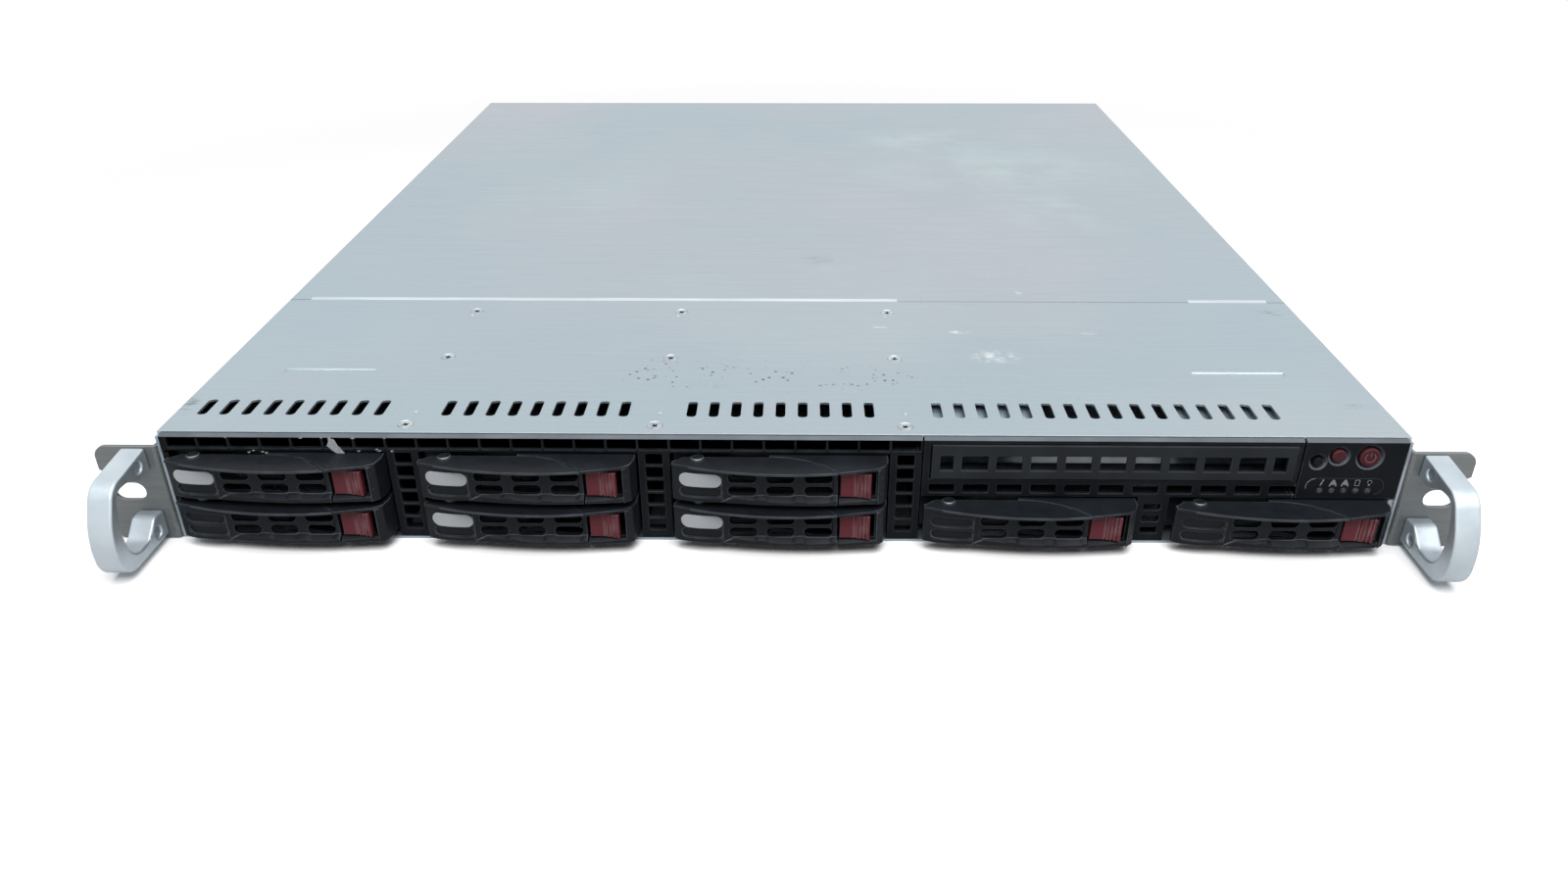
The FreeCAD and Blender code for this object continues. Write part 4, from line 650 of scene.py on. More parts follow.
BOW_RADIUS = 116.0
BOW_REACH = 13.3
BOW_CENTRE = 3.0
CURVE_STEP = 1.5
CARRIER_FLOOR = 0.2
CARRIER_TOP = 14.6
CARRIER_WALL = 1.8
CARRIER_ROOF = 1.0
UNDER_ROOF = CARRIER_TOP - CARRIER_ROOF
LEVER_LEFT = -37.4
LEVER_TIP = 20.3
LEVER_BACK = -1.2
HEEL = (4.0, 3.8)
PARTING = ((10.6, -4.7), (-4.0, -1.2))
PARTING_STEPS = 14
FACE_Y = -8.2
FACE_LEFT = -5.4
FACE_TURN = -20.0
FACE_ROOFED = 14.0
ROOM_RIGHT = FACE_TURN + 0.5
LIP_LEFT = -19.8
LIP_RIGHT = LEVER_TIP - 0.05
LIP_STEP = 0.5
LIP_ROOT = 0.6  # how far the lip reaches back into the face
LIP_FOOT = 0.5  # its height where the ramp starts
LIP_RAMP = 4.2
LIP_APEX = (8.5, -10.3)
LIP_CURVE = 0.0026
LIP_TOP = 2.9
LIP_SLOPE = 0.75
LIP_BRINK = 0.3  # the least height of its front
LIP_WAVE = 0.5  # how much higher it is between the windows, and where that starts and how fast
LIP_WAVE_START = 0.9
LIP_WAVE_RUN = 1.2
LEVER_WINDOW_XS = (-12.85, 0.4, 13.65)
LEVER_WINDOW = (9.8, 3.7)
LEVER_WINDOW_ZS = (4.95, 10.05)
LEVER_WINDOW_ROUND = 1.8
PIN_X = -28.6
PIN_Y = -2.4
PIN_RADIUS = 2.2
PIN_PLAY = 0.15
PIN_TOP = 15.1
POCKET = (14.7, 3.8)
POCKET_X = -27.4
POCKET_ZS = (3.9, 9.0)
POCKET_OUT = (-0.8, 1.0)  # how far out from the face a pocket's cutter and a label plate start and end
LABEL = (14.9, 5.3)
LABEL_OUT = (-0.75, 0.25)
PLATE_STEPS = 28
PLATE_TIP = 0.06  # half the height at the very end of a round-ended plate


def bow_line(start, end):
    """Plan points along the carriers' bowed front."""
    points = []
    for x in steps_between(start, end, CURVE_STEP):
        points.append((x, BOW_RADIUS - BOW_REACH - math.sqrt(BOW_RADIUS ** 2 - (x - BOW_CENTRE) ** 2)))
    return points


def three_point_arc(first, middle, last, steps):
    """Points on the arc through three plan points."""
    ax, ay = first
    bx, by = middle
    cx, cy = last
    d = 2 * (ax * (by - cy) + bx * (cy - ay) + cx * (ay - by))
    sa, sb, sc = ax * ax + ay * ay, bx * bx + by * by, cx * cx + cy * cy
    ux = (sa * (by - cy) + sb * (cy - ay) + sc * (ay - by)) / d
    uy = (sa * (cx - bx) + sb * (ax - cx) + sc * (bx - ax)) / d
    start = math.degrees(math.atan2(ay - uy, ax - ux))
    end = math.degrees(math.atan2(cy - uy, cx - ux))
    if end - start > 180:
        end -= 360
    if start - end > 180:
        end += 360
    return arc((ux, uy), math.hypot(ax - ux, ay - uy), start, end, steps)


def face_y(x):
    """How far forward the face stands: flat along the windows, turning back at its left end."""
    share = max(0.0, (FACE_TURN - x) / (FACE_TURN - LEVER_LEFT))
    return FACE_Y + (FACE_LEFT - FACE_Y) * share ** 3


def face_line(start, end, inset=0.0):
    """Plan points along the face, moved in by an inset."""
    return [(x, face_y(x) + inset) for x in steps_between(start, end, CURVE_STEP)]


def face_wall(start, end, top):
    """A stretch of the face as a prism."""
    plan = face_line(start, end) + face_line(start, end, CARRIER_WALL)[::-1]
    return (plan, "z", CARRIER_FLOOR, top)


def face_plate(x, z, size, inner, outer):
    """The rings of a round-ended plate that follows the face, between two distances out from it."""
    half, round_end = size[0] / 2, size[1] / 2
    sections = []
    for i in range(PLATE_STEPS + 1):
        place = -half * math.cos(math.pi * i / PLATE_STEPS)
        over = max(0.0, abs(place) - (half - round_end))
        rise = max(PLATE_TIP, math.sqrt(max(0.0, round_end ** 2 - over ** 2)))
        corners = ((inner, -rise), (outer, -rise), (outer, rise), (inner, rise))
        sections.append([(x + place, face_y(x + place) - out, z + up) for out, up in corners])
    return sections


def lip_rise(x):
    """The height of the finger lip: it starts in a ramp, dips under each window and rises between them."""
    start = min(1.0, (x - LIP_LEFT) / LIP_RAMP)
    past = min(abs(x - w) for w in LEVER_WINDOW_XS) - LEVER_WINDOW[0] / 2
    between = max(0.0, min(1.0, (past + LIP_WAVE_START) / LIP_WAVE_RUN))
    low = CARRIER_FLOOR + LIP_FOOT
    return low + (LIP_TOP - low) * start + LIP_WAVE * between * start


def lever_lip():
    """The sloped ledge along the foot of a lever."""
    inner = FACE_Y + LIP_ROOT
    sections = []
    for x in steps_between(LIP_LEFT, LIP_RIGHT, LIP_STEP):
        out = LIP_APEX[1] + LIP_CURVE * (x - LIP_APEX[0]) ** 2
        rise = lip_rise(x)
        brink = max(CARRIER_FLOOR + LIP_BRINK, rise - LIP_SLOPE * (FACE_Y - out))
        profile = ((inner, CARRIER_FLOOR), (out, CARRIER_FLOOR), (out, brink), (FACE_Y - 2 * SKIM, rise),
                   (inner, rise))
        sections.append([(x, y, z) for y, z in profile])
    return lofted("lip", sections)


def on_lever_brow(place, normal):
    """Whether a face is the narrow front of a lever's roof, painted grey as a painted highlight."""
    return place.z > UNDER_ROOF - LAP and place.y < FACE_Y and abs(normal.z) < 0.5


def lever_pattern():
    """A lever: bowed roof, face with two rows of round-ended windows, two label pockets and finger lip."""
    bow = bow_line(LEVER_LEFT, LEVER_TIP)
    heel = [(LEVER_LEFT + HEEL[0], LEVER_BACK), (LEVER_LEFT, LEVER_BACK - HEEL[1])]
    roof = bow[:-1] + three_point_arc(bow[-1], *PARTING, PARTING_STEPS) + heel
    body = solid("lever", [(roof, "z", UNDER_ROOF, CARRIER_TOP)])
    knuckle = face_line(LEVER_LEFT, FACE_TURN) + [(FACE_TURN, LEVER_BACK)] + heel
    for prism in ((knuckle, "z", CARRIER_FLOOR, CARRIER_TOP - LAP),
                  face_wall(LEVER_LEFT, FACE_ROOFED, CARRIER_TOP - LAP),
                  face_wall(FACE_ROOFED - LAP, LEVER_TIP, UNDER_ROOF - GAP)):
        combine(body, solid("stretch", [prism]), "UNION")

    inner, behind = LEVER_LEFT + CARRIER_WALL, LEVER_BACK + PAST
    room = face_line(inner, ROOM_RIGHT, CARRIER_WALL) + [(ROOM_RIGHT, behind), (inner, behind)]
    windows = []
    for x in LEVER_WINDOW_XS:
        for z in LEVER_WINDOW_ZS:
            outline = rounded_rectangle((x, z), LEVER_WINDOW, LEVER_WINDOW_ROUND)
            windows.append((outline, "y", FACE_Y - PAST, FACE_Y + CARRIER_WALL + PAST))
    bore = circle((PIN_X, PIN_Y), PIN_RADIUS + PIN_PLAY)
    pockets = [face_plate(POCKET_X, z, POCKET, *POCKET_OUT) for z in POCKET_ZS]
    cut(body, solid("room", [(room, "z", CARRIER_FLOOR + CARRIER_ROOF, UNDER_ROOF)]),
        solid("windows", windows), lofted("pockets", *pockets),
        solid("bore", [(bore, "z", -PAST, CARRIER_TOP + 2 * PAST)]))
    join_islands(body, lever_lip())
    paint_faces(body, [carrier_black, lever_brow_highlight], on_lever_brow)
    return body


def make_levers():
    """Eight levers of one pattern, and the blank label plates of five of them."""
    pattern = lever_pattern()
    for number in NUMBERS:
        place = carrier_place(number)
        lever = link(f"lever_{number}_shell", pattern.data.copy())
        settle(lever, f"lever_{number}", carrier_black, edge=0.22, origin=place,
               replaces=[f"carrier_{number}_lever"])
        if number in LABELLED:
            plate = lofted(f"lever_{number}_label", face_plate(POCKET_X, POCKET_ZS[1], LABEL, *LABEL_OUT))
            settle(plate, f"lever_{number}", label_plate, edge=0.12, origin=place)
    bpy.data.objects.remove(pattern)


# The release latches

LATCH_X = (21.1, 31.9)
LATCH_Z = (2.6, 12.4)
LATCH_FLAT = 3.0  # the length of the flat part of the front, and how the rest flares out
LATCH_FLARE = (-7.9, -9.6)
FLARE_POWER = 1.4
LATCH_BACK = -6.3
LATCH_STEP = 0.1
LATCH_NECK = ((22.9, 30.1), (-6.4, -4.0), (3.6, 11.4))
LATCH_SLIDER = ((21.1, 31.0), (-6.0, -4.0), (2.4, 13.2))
LATCH_GROOVES = (5.6, 7.9, 9.3)  # from the latch's left
GROOVE_HALF = 0.3
GROOVE_DEPTH = 0.55
NOSE_ROUND = 0.7


def latch_front(x):
    """The finger piece's front: flat on the left, flaring out to the right, with narrow grooves."""
    along = x - LATCH_X[0]
    share = max(0.0, (along - LATCH_FLAT) / (LATCH_X[1] - LATCH_X[0] - LATCH_FLAT))
    front = LATCH_FLARE[0] + (LATCH_FLARE[1] - LATCH_FLARE[0]) * share ** FLARE_POWER
    for groove in LATCH_GROOVES:
        off = abs(along - groove) / GROOVE_HALF
        if off < 1:
            front += GROOVE_DEPTH * math.cos(off * math.pi / 2)
    short = LATCH_X[1] - x
    if short < NOSE_ROUND:
        front += NOSE_ROUND - math.sqrt(NOSE_ROUND ** 2 - (NOSE_ROUND - short) ** 2)
    return front


def make_latches():
    """Eight latches: a grooved finger piece on the slider that guides it."""
    plan = [(x, latch_front(x)) for x in steps_between(*LATCH_X, LATCH_STEP)]
    plan += [(LATCH_X[1], LATCH_BACK), (LATCH_X[0], LATCH_BACK)]
    for number in NUMBERS:
        latch = solid(f"latch_{number}_tab", [(plan, "z", *LATCH_Z)])
        for x, y, z in (LATCH_NECK, LATCH_SLIDER):
            combine(latch, solid("guide", [(rectangle(x, y), "z", *z)]), "UNION")
        settle(latch, f"latch_{number}", burgundy, edge=0.3, origin=carrier_place(number),
               replaces=[f"carrier_{number}_latch"], segments=3)


# Small details of the carriers' fixed ends

END_FLAT = ((34.1, -9.25), (36.6, -7.25))
LIGHT_DOT = (1.5, 1.7)
LIGHT_DOT_ROUND = 0.5
LIGHT_DOT_Y = (-0.15, 0.3)
LIGHT_DOT_ZS = (4.3, 10.4)
PIN_HEAD = ((2.05, -0.6), (PIN_RADIUS, -0.5), (PIN_RADIUS, 0.0), (1.95, 0.18), (1.6, 0.2), (0.3, 0.22))


def make_carrier_lights():
    """Two light windows on the rounded end of each carrier."""
    start, end = (Vector((*point, 0)) for point in END_FLAT)
    along = end - start
    turn = Matrix.Rotation(math.atan2(along.y, along.x), 4, "Z")
    dots = []
    for z in LIGHT_DOT_ZS:
        dots.append((rounded_rectangle((0, z), LIGHT_DOT, LIGHT_DOT_ROUND, 4), "y", *LIGHT_DOT_Y))
    for number in NUMBERS:
        lights = solid(f"carrier_{number}_lights", dots)
        lights.data.transform(Matrix.Translation((start + end) / 2) @ turn)
        settle(lights, f"carrier_{number}", smoked, edge=0.15,
               origin=carrier_place(number))


def make_pin_heads():
    """The heads of the hinge pins, dark on top and brighter round the rim."""
    rings = [[(*p, PIN_TOP + z) for p in circle((PIN_X, PIN_Y), radius)] for radius, z in PIN_HEAD]
    for number in NUMBERS:
        head = lofted(f"carrier_{number}_pin_head", rings)
        paint_faces(head, [pin_metal, pin_dark], lambda place, normal: normal.z > 0.9)
        settle(head, f"carrier_{number}", pin_metal, origin=carrier_place(number))


# The black front: the grille over the bays and the frame round the optical bay

GRILLE_DEPTH = 6.0
GRILLE_FOOT = 1.1
GRILLE_RIGHT = COLUMN_XS[3] - BAY_HALF
GRILLE_PLATE = 1.6
THROUGH = ("y", -2.0, GRILLE_DEPTH + 2.0)
WINDOW_ROUND = 0.5
SIDE_WINDOW = (5.9, 4.4)
SIDE_ROW = (6.6, 5.4, 6)  # the first window's place, the pitch and the count, as in the rows below
LOW_WINDOW = (6.0, 2.6)
LOW_ROW = (5.5, 4.9, 3)
STRIP_SLOT = (8.9, 3.4)
STRIP_Z = 22.5
STRIP_ROW = ((GRILLE_RIGHT + GAP + FRONT_RIGHT) / 2 - 58.6, 11.98, 11)
TOP_WINDOW = (10.2, 4.0)
TOP_WINDOW_Z = 39.45
TOP_PITCH = COLUMN_PITCH / 8
TOP_ROW = (COLUMN_XS[0] - 3 * TOP_PITCH, TOP_PITCH, 24)
OPTICAL = ((52.8, 180.2), (26.4, 40.6))
BROW = (1.6, 1.3, 1.2, 0.2)  # the bevel's depth; then down from the top the ledge, its foot and its head
HOLLOW_HALF = 4.0
HOLLOW_FOOT = GRILLE_FOOT + 2.0
HOLLOW_RIM = 1.5
TOP_HOLLOW = (BAY_TOP + 0.8, TOP - 1.8)
STRIP_HOLLOW = (20.4, 25.0)


def front_section(foot, depth):
    """The black moulding's section, with a bevel along its top, as (y, z) points."""
    back, ledge, low, high = BROW
    return [(0.0, foot), (depth, foot), (depth, TOP - ledge), (back, TOP - ledge), (back, TOP - high),
            (0.0, TOP - low)]


def on_brow(place, normal):
    """Whether a face is the upward bevel along the moulding's top, painted grey as a painted highlight of the
    light from above.
    """
    return place.z > TOP - 1.5 and normal.z > 0.3


def grille_windows():
    """Every window of the grille and the frame."""
    places = []
    for x in STACKED_XS:
        places += [(x + DIVIDER, z, SIDE_WINDOW) for z in row(*SIDE_ROW)]
    places += [(x, TOP_WINDOW_Z, TOP_WINDOW) for x in row(*TOP_ROW)]
    places += [(COLUMN_XS[3] + DIVIDER, z, LOW_WINDOW) for z in row(*LOW_ROW)]
    places += [(x, STRIP_Z, STRIP_SLOT) for x in row(*STRIP_ROW)]
    return [(rounded_rectangle((x, z), size, WINDOW_ROUND, 3), *THROUGH) for x, z, size in places]


def grille_hollows():
    """The room behind the windows, which leaves the front a thin plate."""
    rooms = []
    for x in COLUMN_XS[:4]:
        top = BAY_TOP - GAP if x in STACKED_XS else LOW_BAY_TOP - HOLLOW_RIM
        rooms.append(((x + DIVIDER - HOLLOW_HALF, x + DIVIDER + HOLLOW_HALF), (HOLLOW_FOOT, top)))
    rooms.append(((FRONT_LEFT + HOLLOW_RIM, GRILLE_RIGHT - HOLLOW_RIM), TOP_HOLLOW))
    rooms.append(((GRILLE_RIGHT + 2.0, FRONT_RIGHT - HOLLOW_RIM), STRIP_HOLLOW))
    return [(rectangle(*room), "y", GRILLE_PLATE, GRILLE_DEPTH + PAST) for room in rooms]


def make_grille():
    """Two mouldings, cut out round the bays and pierced by rows of windows."""
    section = front_section(GRILLE_FOOT, GRILLE_DEPTH)
    spans = ((FRONT_LEFT, GRILLE_RIGHT), (GRILLE_RIGHT + GAP, FRONT_RIGHT))
    grille = solid("bay_grille", [(section, "x", *span) for span in spans])
    openings = [(rectangle(*OPTICAL), *THROUGH)]
    for x in COLUMN_XS:
        start = -HALF_WIDTH if x == COLUMN_XS[0] else x - BAY_HALF
        height = BAY_TOP if x in STACKED_XS else LOW_BAY_TOP
        openings.append((rectangle((start, x + BAY_HALF), (0.0, height)), *THROUGH))
    cut(grille, solid("openings", openings), solid("windows", grille_windows()),
        solid("hollows", grille_hollows()))
    paint_faces(grille, [black, bevel_highlight_black], on_brow)
    settle(grille, "chassis", black, edge=0.3, replaces=["front_grille"])


# What a torn label has left on the grille, and chips in its edges, as (x, z)
FLAKE = ((-157.3, 42.0), (-155.6, 40.9), (-154.3, 38.2), (-152.6, 35.4), (-154.8, 35.0), (-156.9, 36.5),
         (-158.4, 38.6))
FLAKE_ROUGH = 0.22
FLAKE_OUT = (-0.16, 0.02)
CHIPS = ((-186.6, 35.8), (-184.9, 36.5), (-181.8, 36.0), (-180.6, 35.6), (-147.6, 36.5), (-140.4, 36.6),
         (-141.2, 37.2), (-136.0, 36.5), (-167.2, 41.6), (-160.0, 41.6), (-149.0, 41.6), (-137.8, 41.6),
         (-193.7, 41.6))
CHIP_SIZES = (0.35, 0.8)
CHIP_ROUGH = 0.08
CHIP_OUT = (-0.12, 0.02)
TEARS = 4  # steps along each side of a torn outline


def torn_outline(corners, rough):
    """An outline whose sides are broken by small random steps."""
    points = []
    for i, corner in enumerate(corners):
        after = corners[(i + 1) % len(corners)]
        for j in range(TEARS):
            points.append(tuple(a + (b - a) * j / TEARS + random.uniform(-rough, rough)
                                for a, b in zip(corner, after)))
    return points


def make_residue():
    """The torn scrap and the pale chips, each a thin flake on the grille's face."""
    scraps = [(torn_outline(FLAKE, FLAKE_ROUGH), "y", *FLAKE_OUT)]
    for x, z in CHIPS:
        size = random.uniform(*CHIP_SIZES)
        corners = [(x - size, z), (x, z - 0.5 * size), (x + size, z + 0.1), (x + 0.2, z + 0.5 * size)]
        scraps.append((torn_outline(corners, CHIP_ROUGH), "y", *CHIP_OUT))
    settle(solid("grille_residue", scraps), "chassis", paper)


# The top panel, its screws and the removable cover

SHEET_ANGLE = 3.0  # the flattest fold of the sheets that still shows as an edge
PANEL_FRONT = 2.0
SEAM = 124.3
VENT = (3.5, 12.0)
VENT_ROUND = 1.45
VENT_ROW = 20.8
VENT_PITCH = 8.0
RIGHT_VENTS = GRILLE_RIGHT + 66.7  # the middle of the right row
STAMP_ROW = 53.5
STAMP_DEPTH = 0.5
STAMP_RUN = 5.0
STAMP_HALF = 17.5
STAMP_FROM_SIDE = 43.5
SCREW_XS = (-132.6, -44.2, 44.2)
SCREW_YS = (8.2, 65.0, 112.0)
SINK_CONE = ((2.1, 3.3), 1.2, 40)  # radii, depth and flats of a countersink and of a screw's head
SINK_DOWN = 0.3
SCREW_CONE = ((2.1, 2.7), 0.9, 36)
SCREW_DOWN = 0.62
CROSS = ((1.05, 0.38), (-1.05, 0.38), (-1.05, -0.38), (1.05, -0.38))  # one arm of a screw's cross
CROSS_REACH = 1.15
CROSS_Z = (TOP - 0.95, TOP + 0.5)
DOTS = ((0.8, 18.4), (-1.2, 108.2))  # aside from a line of screws, and back from the front
DOT_RADIUS = 1.15
DOT_RISE = 0.42
DOT_FOOT = TOP - 0.05
HEMS = ((-209.7, 49.4), (176.8, 211.1))
HEM_DEPTH = 2.7
HEM_DROP = 0.75
COVER_FLANGE = 8.0
FLANGE_INSET = 1.4


def vent_places():
    """Where the top panel's vents sit across: sixteen on the right, and nine over each stacked column."""
    xs = spread(16, VENT_PITCH, RIGHT_VENTS)
    for x in STACKED_XS:
        xs += spread(9, VENT_PITCH, x)
    return xs


def on_stamp(place, normal):
    """Whether a face is the upright side of a stamped line, which is painted bright as a painted highlight."""
    return normal.y < -0.9 and abs(place.y - STAMP_ROW) < 0.3


def make_top_panel():
    """The fixed sheet over the bays: round-ended vents, countersinks and two stamped lines."""
    panel = solid("top_sheet", [(rectangle((-HALF_WIDTH, HALF_WIDTH), (PANEL_FRONT, SEAM)), "z", UNDER, TOP)])
    vents = []
    for x in vent_places():
        vents.append((rounded_rectangle((x, VENT_ROW), VENT, VENT_ROUND), "z", UNDER - PAST, TOP + PAST))
    sinks = bmesh.new()
    for x in SCREW_XS:
        for y in SCREW_YS:
            add_cone(sinks, (x, y, TOP - SINK_DOWN), *SINK_CONE)
    slope = [(STAMP_ROW - STAMP_RUN, TOP + SKIM), (STAMP_ROW, TOP - STAMP_DEPTH), (STAMP_ROW, TOP + SKIM)]
    stamps = []
    for side in (-1, 1):
        middle = side * (HALF_WIDTH - STAMP_FROM_SIDE)
        stamps.append((slope, "x", middle - STAMP_HALF, middle + STAMP_HALF))
    cut(panel, solid("vents", vents), new_object("sinks", sinks), solid("stamps", stamps))
    paint_faces(panel, [top_steel, hem_highlight_metal], on_stamp)
    settle(panel, "chassis", top_steel, edge=0.12, replaces=["front_top_panel"],
           angle=SHEET_ANGLE)


def make_screw(name, x, y):
    """A countersunk screw with a cross in its head, turned at random."""
    def in_cross(place, normal):
        """Whether a face is inside the cross."""
        return math.hypot(place.x - x, place.y - y) < CROSS_REACH and place.z < TOP - 0.2

    head = bmesh.new()
    add_cone(head, (x, y, TOP - SCREW_DOWN), *SCREW_CONE)
    screw = new_object(name, head)
    turn = math.radians(random.uniform(0, 90))
    for angle in (turn, turn + math.pi / 2):
        spin = Matrix.Rotation(angle, 2)
        arm = [tuple(Vector((x, y)) + spin @ Vector(corner)) for corner in CROSS]
        cut(screw, solid("arm", [(arm, "z", *CROSS_Z)]))
    # The cross's recess is painted black: painted shade.
    paint_faces(screw, [screw_metal, deep_black], in_cross)
    settle(screw, "chassis", screw_metal, edge=0.08)


def make_dot(name, x, y):
    """A small pressed dome."""
    rings = []
    for angle in (math.radians(90 * share) for share in (0.0, 0.3, 0.6, 0.85)):
        z = DOT_FOOT + DOT_RISE * math.sin(angle)
        rings.append([(*p, z) for p in circle((x, y), DOT_RADIUS * math.cos(angle), 24)])
    settle(lofted(name, rings), "chassis", steel)


def make_screws():
    """The top panel's screws, and the small raised dots beside some of them."""
    for i, x in enumerate(SCREW_XS):
        for j, y in enumerate(SCREW_YS):
            make_screw(f"top_screw_{i + 1}_{j + 1}", x, y)
        for j, (aside, y) in enumerate(DOTS):
            make_dot(f"top_dot_{i + 1}_{j + 1}", x + aside, y)


def cover_face(place, normal):
    """Which finish a face of the cover has: 0 sheet, 1 the hem, painted bright as a painted highlight, 2 the
    front edge inside the seam, painted black as the seam's painted shadow.
    """
    if normal.y < -0.95:
        return 2
    return -0.9 < normal.y < -0.1 and normal.z > 0.5


def make_cover():
    """The removable cover: its sheet with two side flanges, and the bright sloped hem along its front."""
    front = SEAM + GAP
    rear = (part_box("top_cover")[1].y - FRONT) / MM
    outer, foot = HALF_WIDTH - FLANGE_INSET, UNDER - COVER_FLANGE
    inner = outer - SHEET
    half = [(HALF_WIDTH, TOP), (HALF_WIDTH, UNDER), (outer, UNDER), (outer, foot), (inner, foot),
            (inner, UNDER)]
    section = half + [(-x, z) for x, z in reversed(half)]
    cover = solid("cover_sheet", [(section, "y", front, rear)])
    slope = [(front - LAP, TOP - HEM_DROP), (front + HEM_DEPTH, TOP + SKIM), (front - LAP, TOP + SKIM)]
    cut(cover, solid("slopes", [(slope, "x", *hem) for hem in HEMS]))
    # The cover's front edge is painted black: the seam's painted shadow.
    paint_faces(cover, [top_steel, hem_highlight_metal, deep_black], cover_face)
    settle(cover, "top_cover", top_steel, edge=0.1, replaces=["top_cover"],
           angle=SHEET_ANGLE)


# Brackets under the top panel at both ends of the optical bay, each with its leg's span
BRACKETS = (((52.6, 92.5), (52.6, 53.6)), ((144.0, 181.0), (180.0, 181.0)))
BRACKET_Y = (11.0, 70.0)
BRACKET_Z = (38.9, 39.9)


def make_brackets():
    """Two bent plates that hang from the top panel and show through its vents."""
    for number, (plate, leg) in enumerate(BRACKETS, 1):
        bracket = solid(f"optical_bay_bracket_{number}", [(rectangle(plate, BRACKET_Z), "y", *BRACKET_Y)])
        upright = rectangle(leg, (BRACKET_Z[0], UNDER))
        combine(bracket, solid("leg", [(upright, "y", *BRACKET_Y)]), "UNION")
        settle(bracket, "chassis", steel, edge=0.15)


# Rack ears and handles

EAR_REACH = 22.8
EAR_SHEET = 1.5
EAR_FRONT = -1.0
EAR_BACK = EAR_FRONT + EAR_SHEET
EAR_TOP = 38.4
EAR_FOOT = 0.4
EAR_FLANGE = 34.0
EAR_BENDS = (2.0, 0.5)  # radii outside and inside the fold
EAR_ROUNDS = (4.5, 2.0)  # radii at the upper and lower corner
NOTCH_ZS = (28.9, 26.8, 24.7)
NOTCH_DEPTH = 3.5
NOTCH_ROUND = 1.0
RACK_SLOT = (11.5, 7.0)
RACK_SLOT_ROUND = 3.49
RACK_SLOT_PLACE = (8.75, 20.0)  # in from the ear's outer side, and up
HANDLE_FROM_SIDE = 4.1
HANDLE_THICK = 8.5
HANDLE_STEP = 4.0  # degrees between the points of its arcs
HANDLE_OUTLINE = (  # (y, z, radius), with y from the ear's front
    (0.0, 38.0, 0.0),
    (-23.5, 35.8, 9.0),
    (-32.3, 20.0, 26.0),
    (-31.0, 2.4, 9.5),
    (0.0, 2.4, 0.0),
    (0.0, 12.4, 0.0),
    (-5.8, 12.8, 4.0),
    (-12.5, 7.2, 6.0),
    (-23.3, 7.0, 7.0),
    (-26.0, 20.0, 25.0),
    (-22.0, 32.7, 5.0),
    (-14.5, 32.2, 8.0),
    (-8.0, 28.9, 5.0),
    (0.0, 28.9, 0.0),
)
HANDLE_HOLES = ((-6.4, 33.6), (-6.2, 6.6))
HANDLE_HOLE_RADIUS = 2.1
HANDLE_HOLE_DEPTH = 4.0


def make_handle(side, name):
    """A smooth cast loop with two blind screw holes in its inner face."""
    inner = side * (HALF_WIDTH + HANDLE_FROM_SIDE)
    outline = rounded_path([(EAR_FRONT + y, z, radius) for y, z, radius in HANDLE_OUTLINE], HANDLE_STEP)
    loop = solid(f"{name}_loop", [(outline, "x", *sorted((inner, inner + side * HANDLE_THICK)))])
    bore = sorted((inner - side * PAST, inner + side * HANDLE_HOLE_DEPTH))
    holes = [(circle((EAR_FRONT + y, z), HANDLE_HOLE_RADIUS), "x", *bore) for y, z in HANDLE_HOLES]
    cut(loop, solid("holes", holes))
    settle(loop, "chassis", handle_silver, edge=0.9, replaces=[name], segments=4)


def make_ear(side, name):
    """A folded bracket with round corners, a notch and the rack slot."""
    inner, outer = side * HALF_WIDTH, side * (HALF_WIDTH + EAR_REACH)
    fold = side * (HALF_WIDTH + EAR_SHEET)
    section = [(inner, EAR_FRONT, EAR_BENDS[0]), (outer, EAR_FRONT, 0), (outer, EAR_BACK, 0),
               (fold, EAR_BACK, EAR_BENDS[1]), (fold, EAR_FLANGE, 0), (inner, EAR_FLANGE, 0)]
    bracket = solid(f"{name}_bracket", [(rounded_path(section), "z", EAR_FOOT, EAR_TOP)])
    past = inner - side * PAST
    high, middle, low = NOTCH_ZS
    shape = [(past, EAR_TOP, 0), (outer, EAR_TOP, EAR_ROUNDS[0]),
             (outer, high, 0), (outer - side * NOTCH_DEPTH, middle, NOTCH_ROUND), (outer, low, 0),
             (outer, EAR_FOOT, EAR_ROUNDS[1]), (past, EAR_FOOT, 0)]
    trim = (rounded_path(shape), "y", EAR_FRONT - PAST, EAR_FLANGE + PAST)
    combine(bracket, solid("trim", [trim]), "INTERSECT")
    from_side, up = RACK_SLOT_PLACE
    slot = rounded_rectangle((outer - side * from_side, up), RACK_SLOT, RACK_SLOT_ROUND)
    cut(bracket, solid("slot", [(slot, "y", EAR_FRONT - PAST, EAR_BACK + GAP)]))
    settle(bracket, "chassis", ear_steel, edge=0.2, replaces=[name])


# Control panel: buttons, their bores and the printed signs

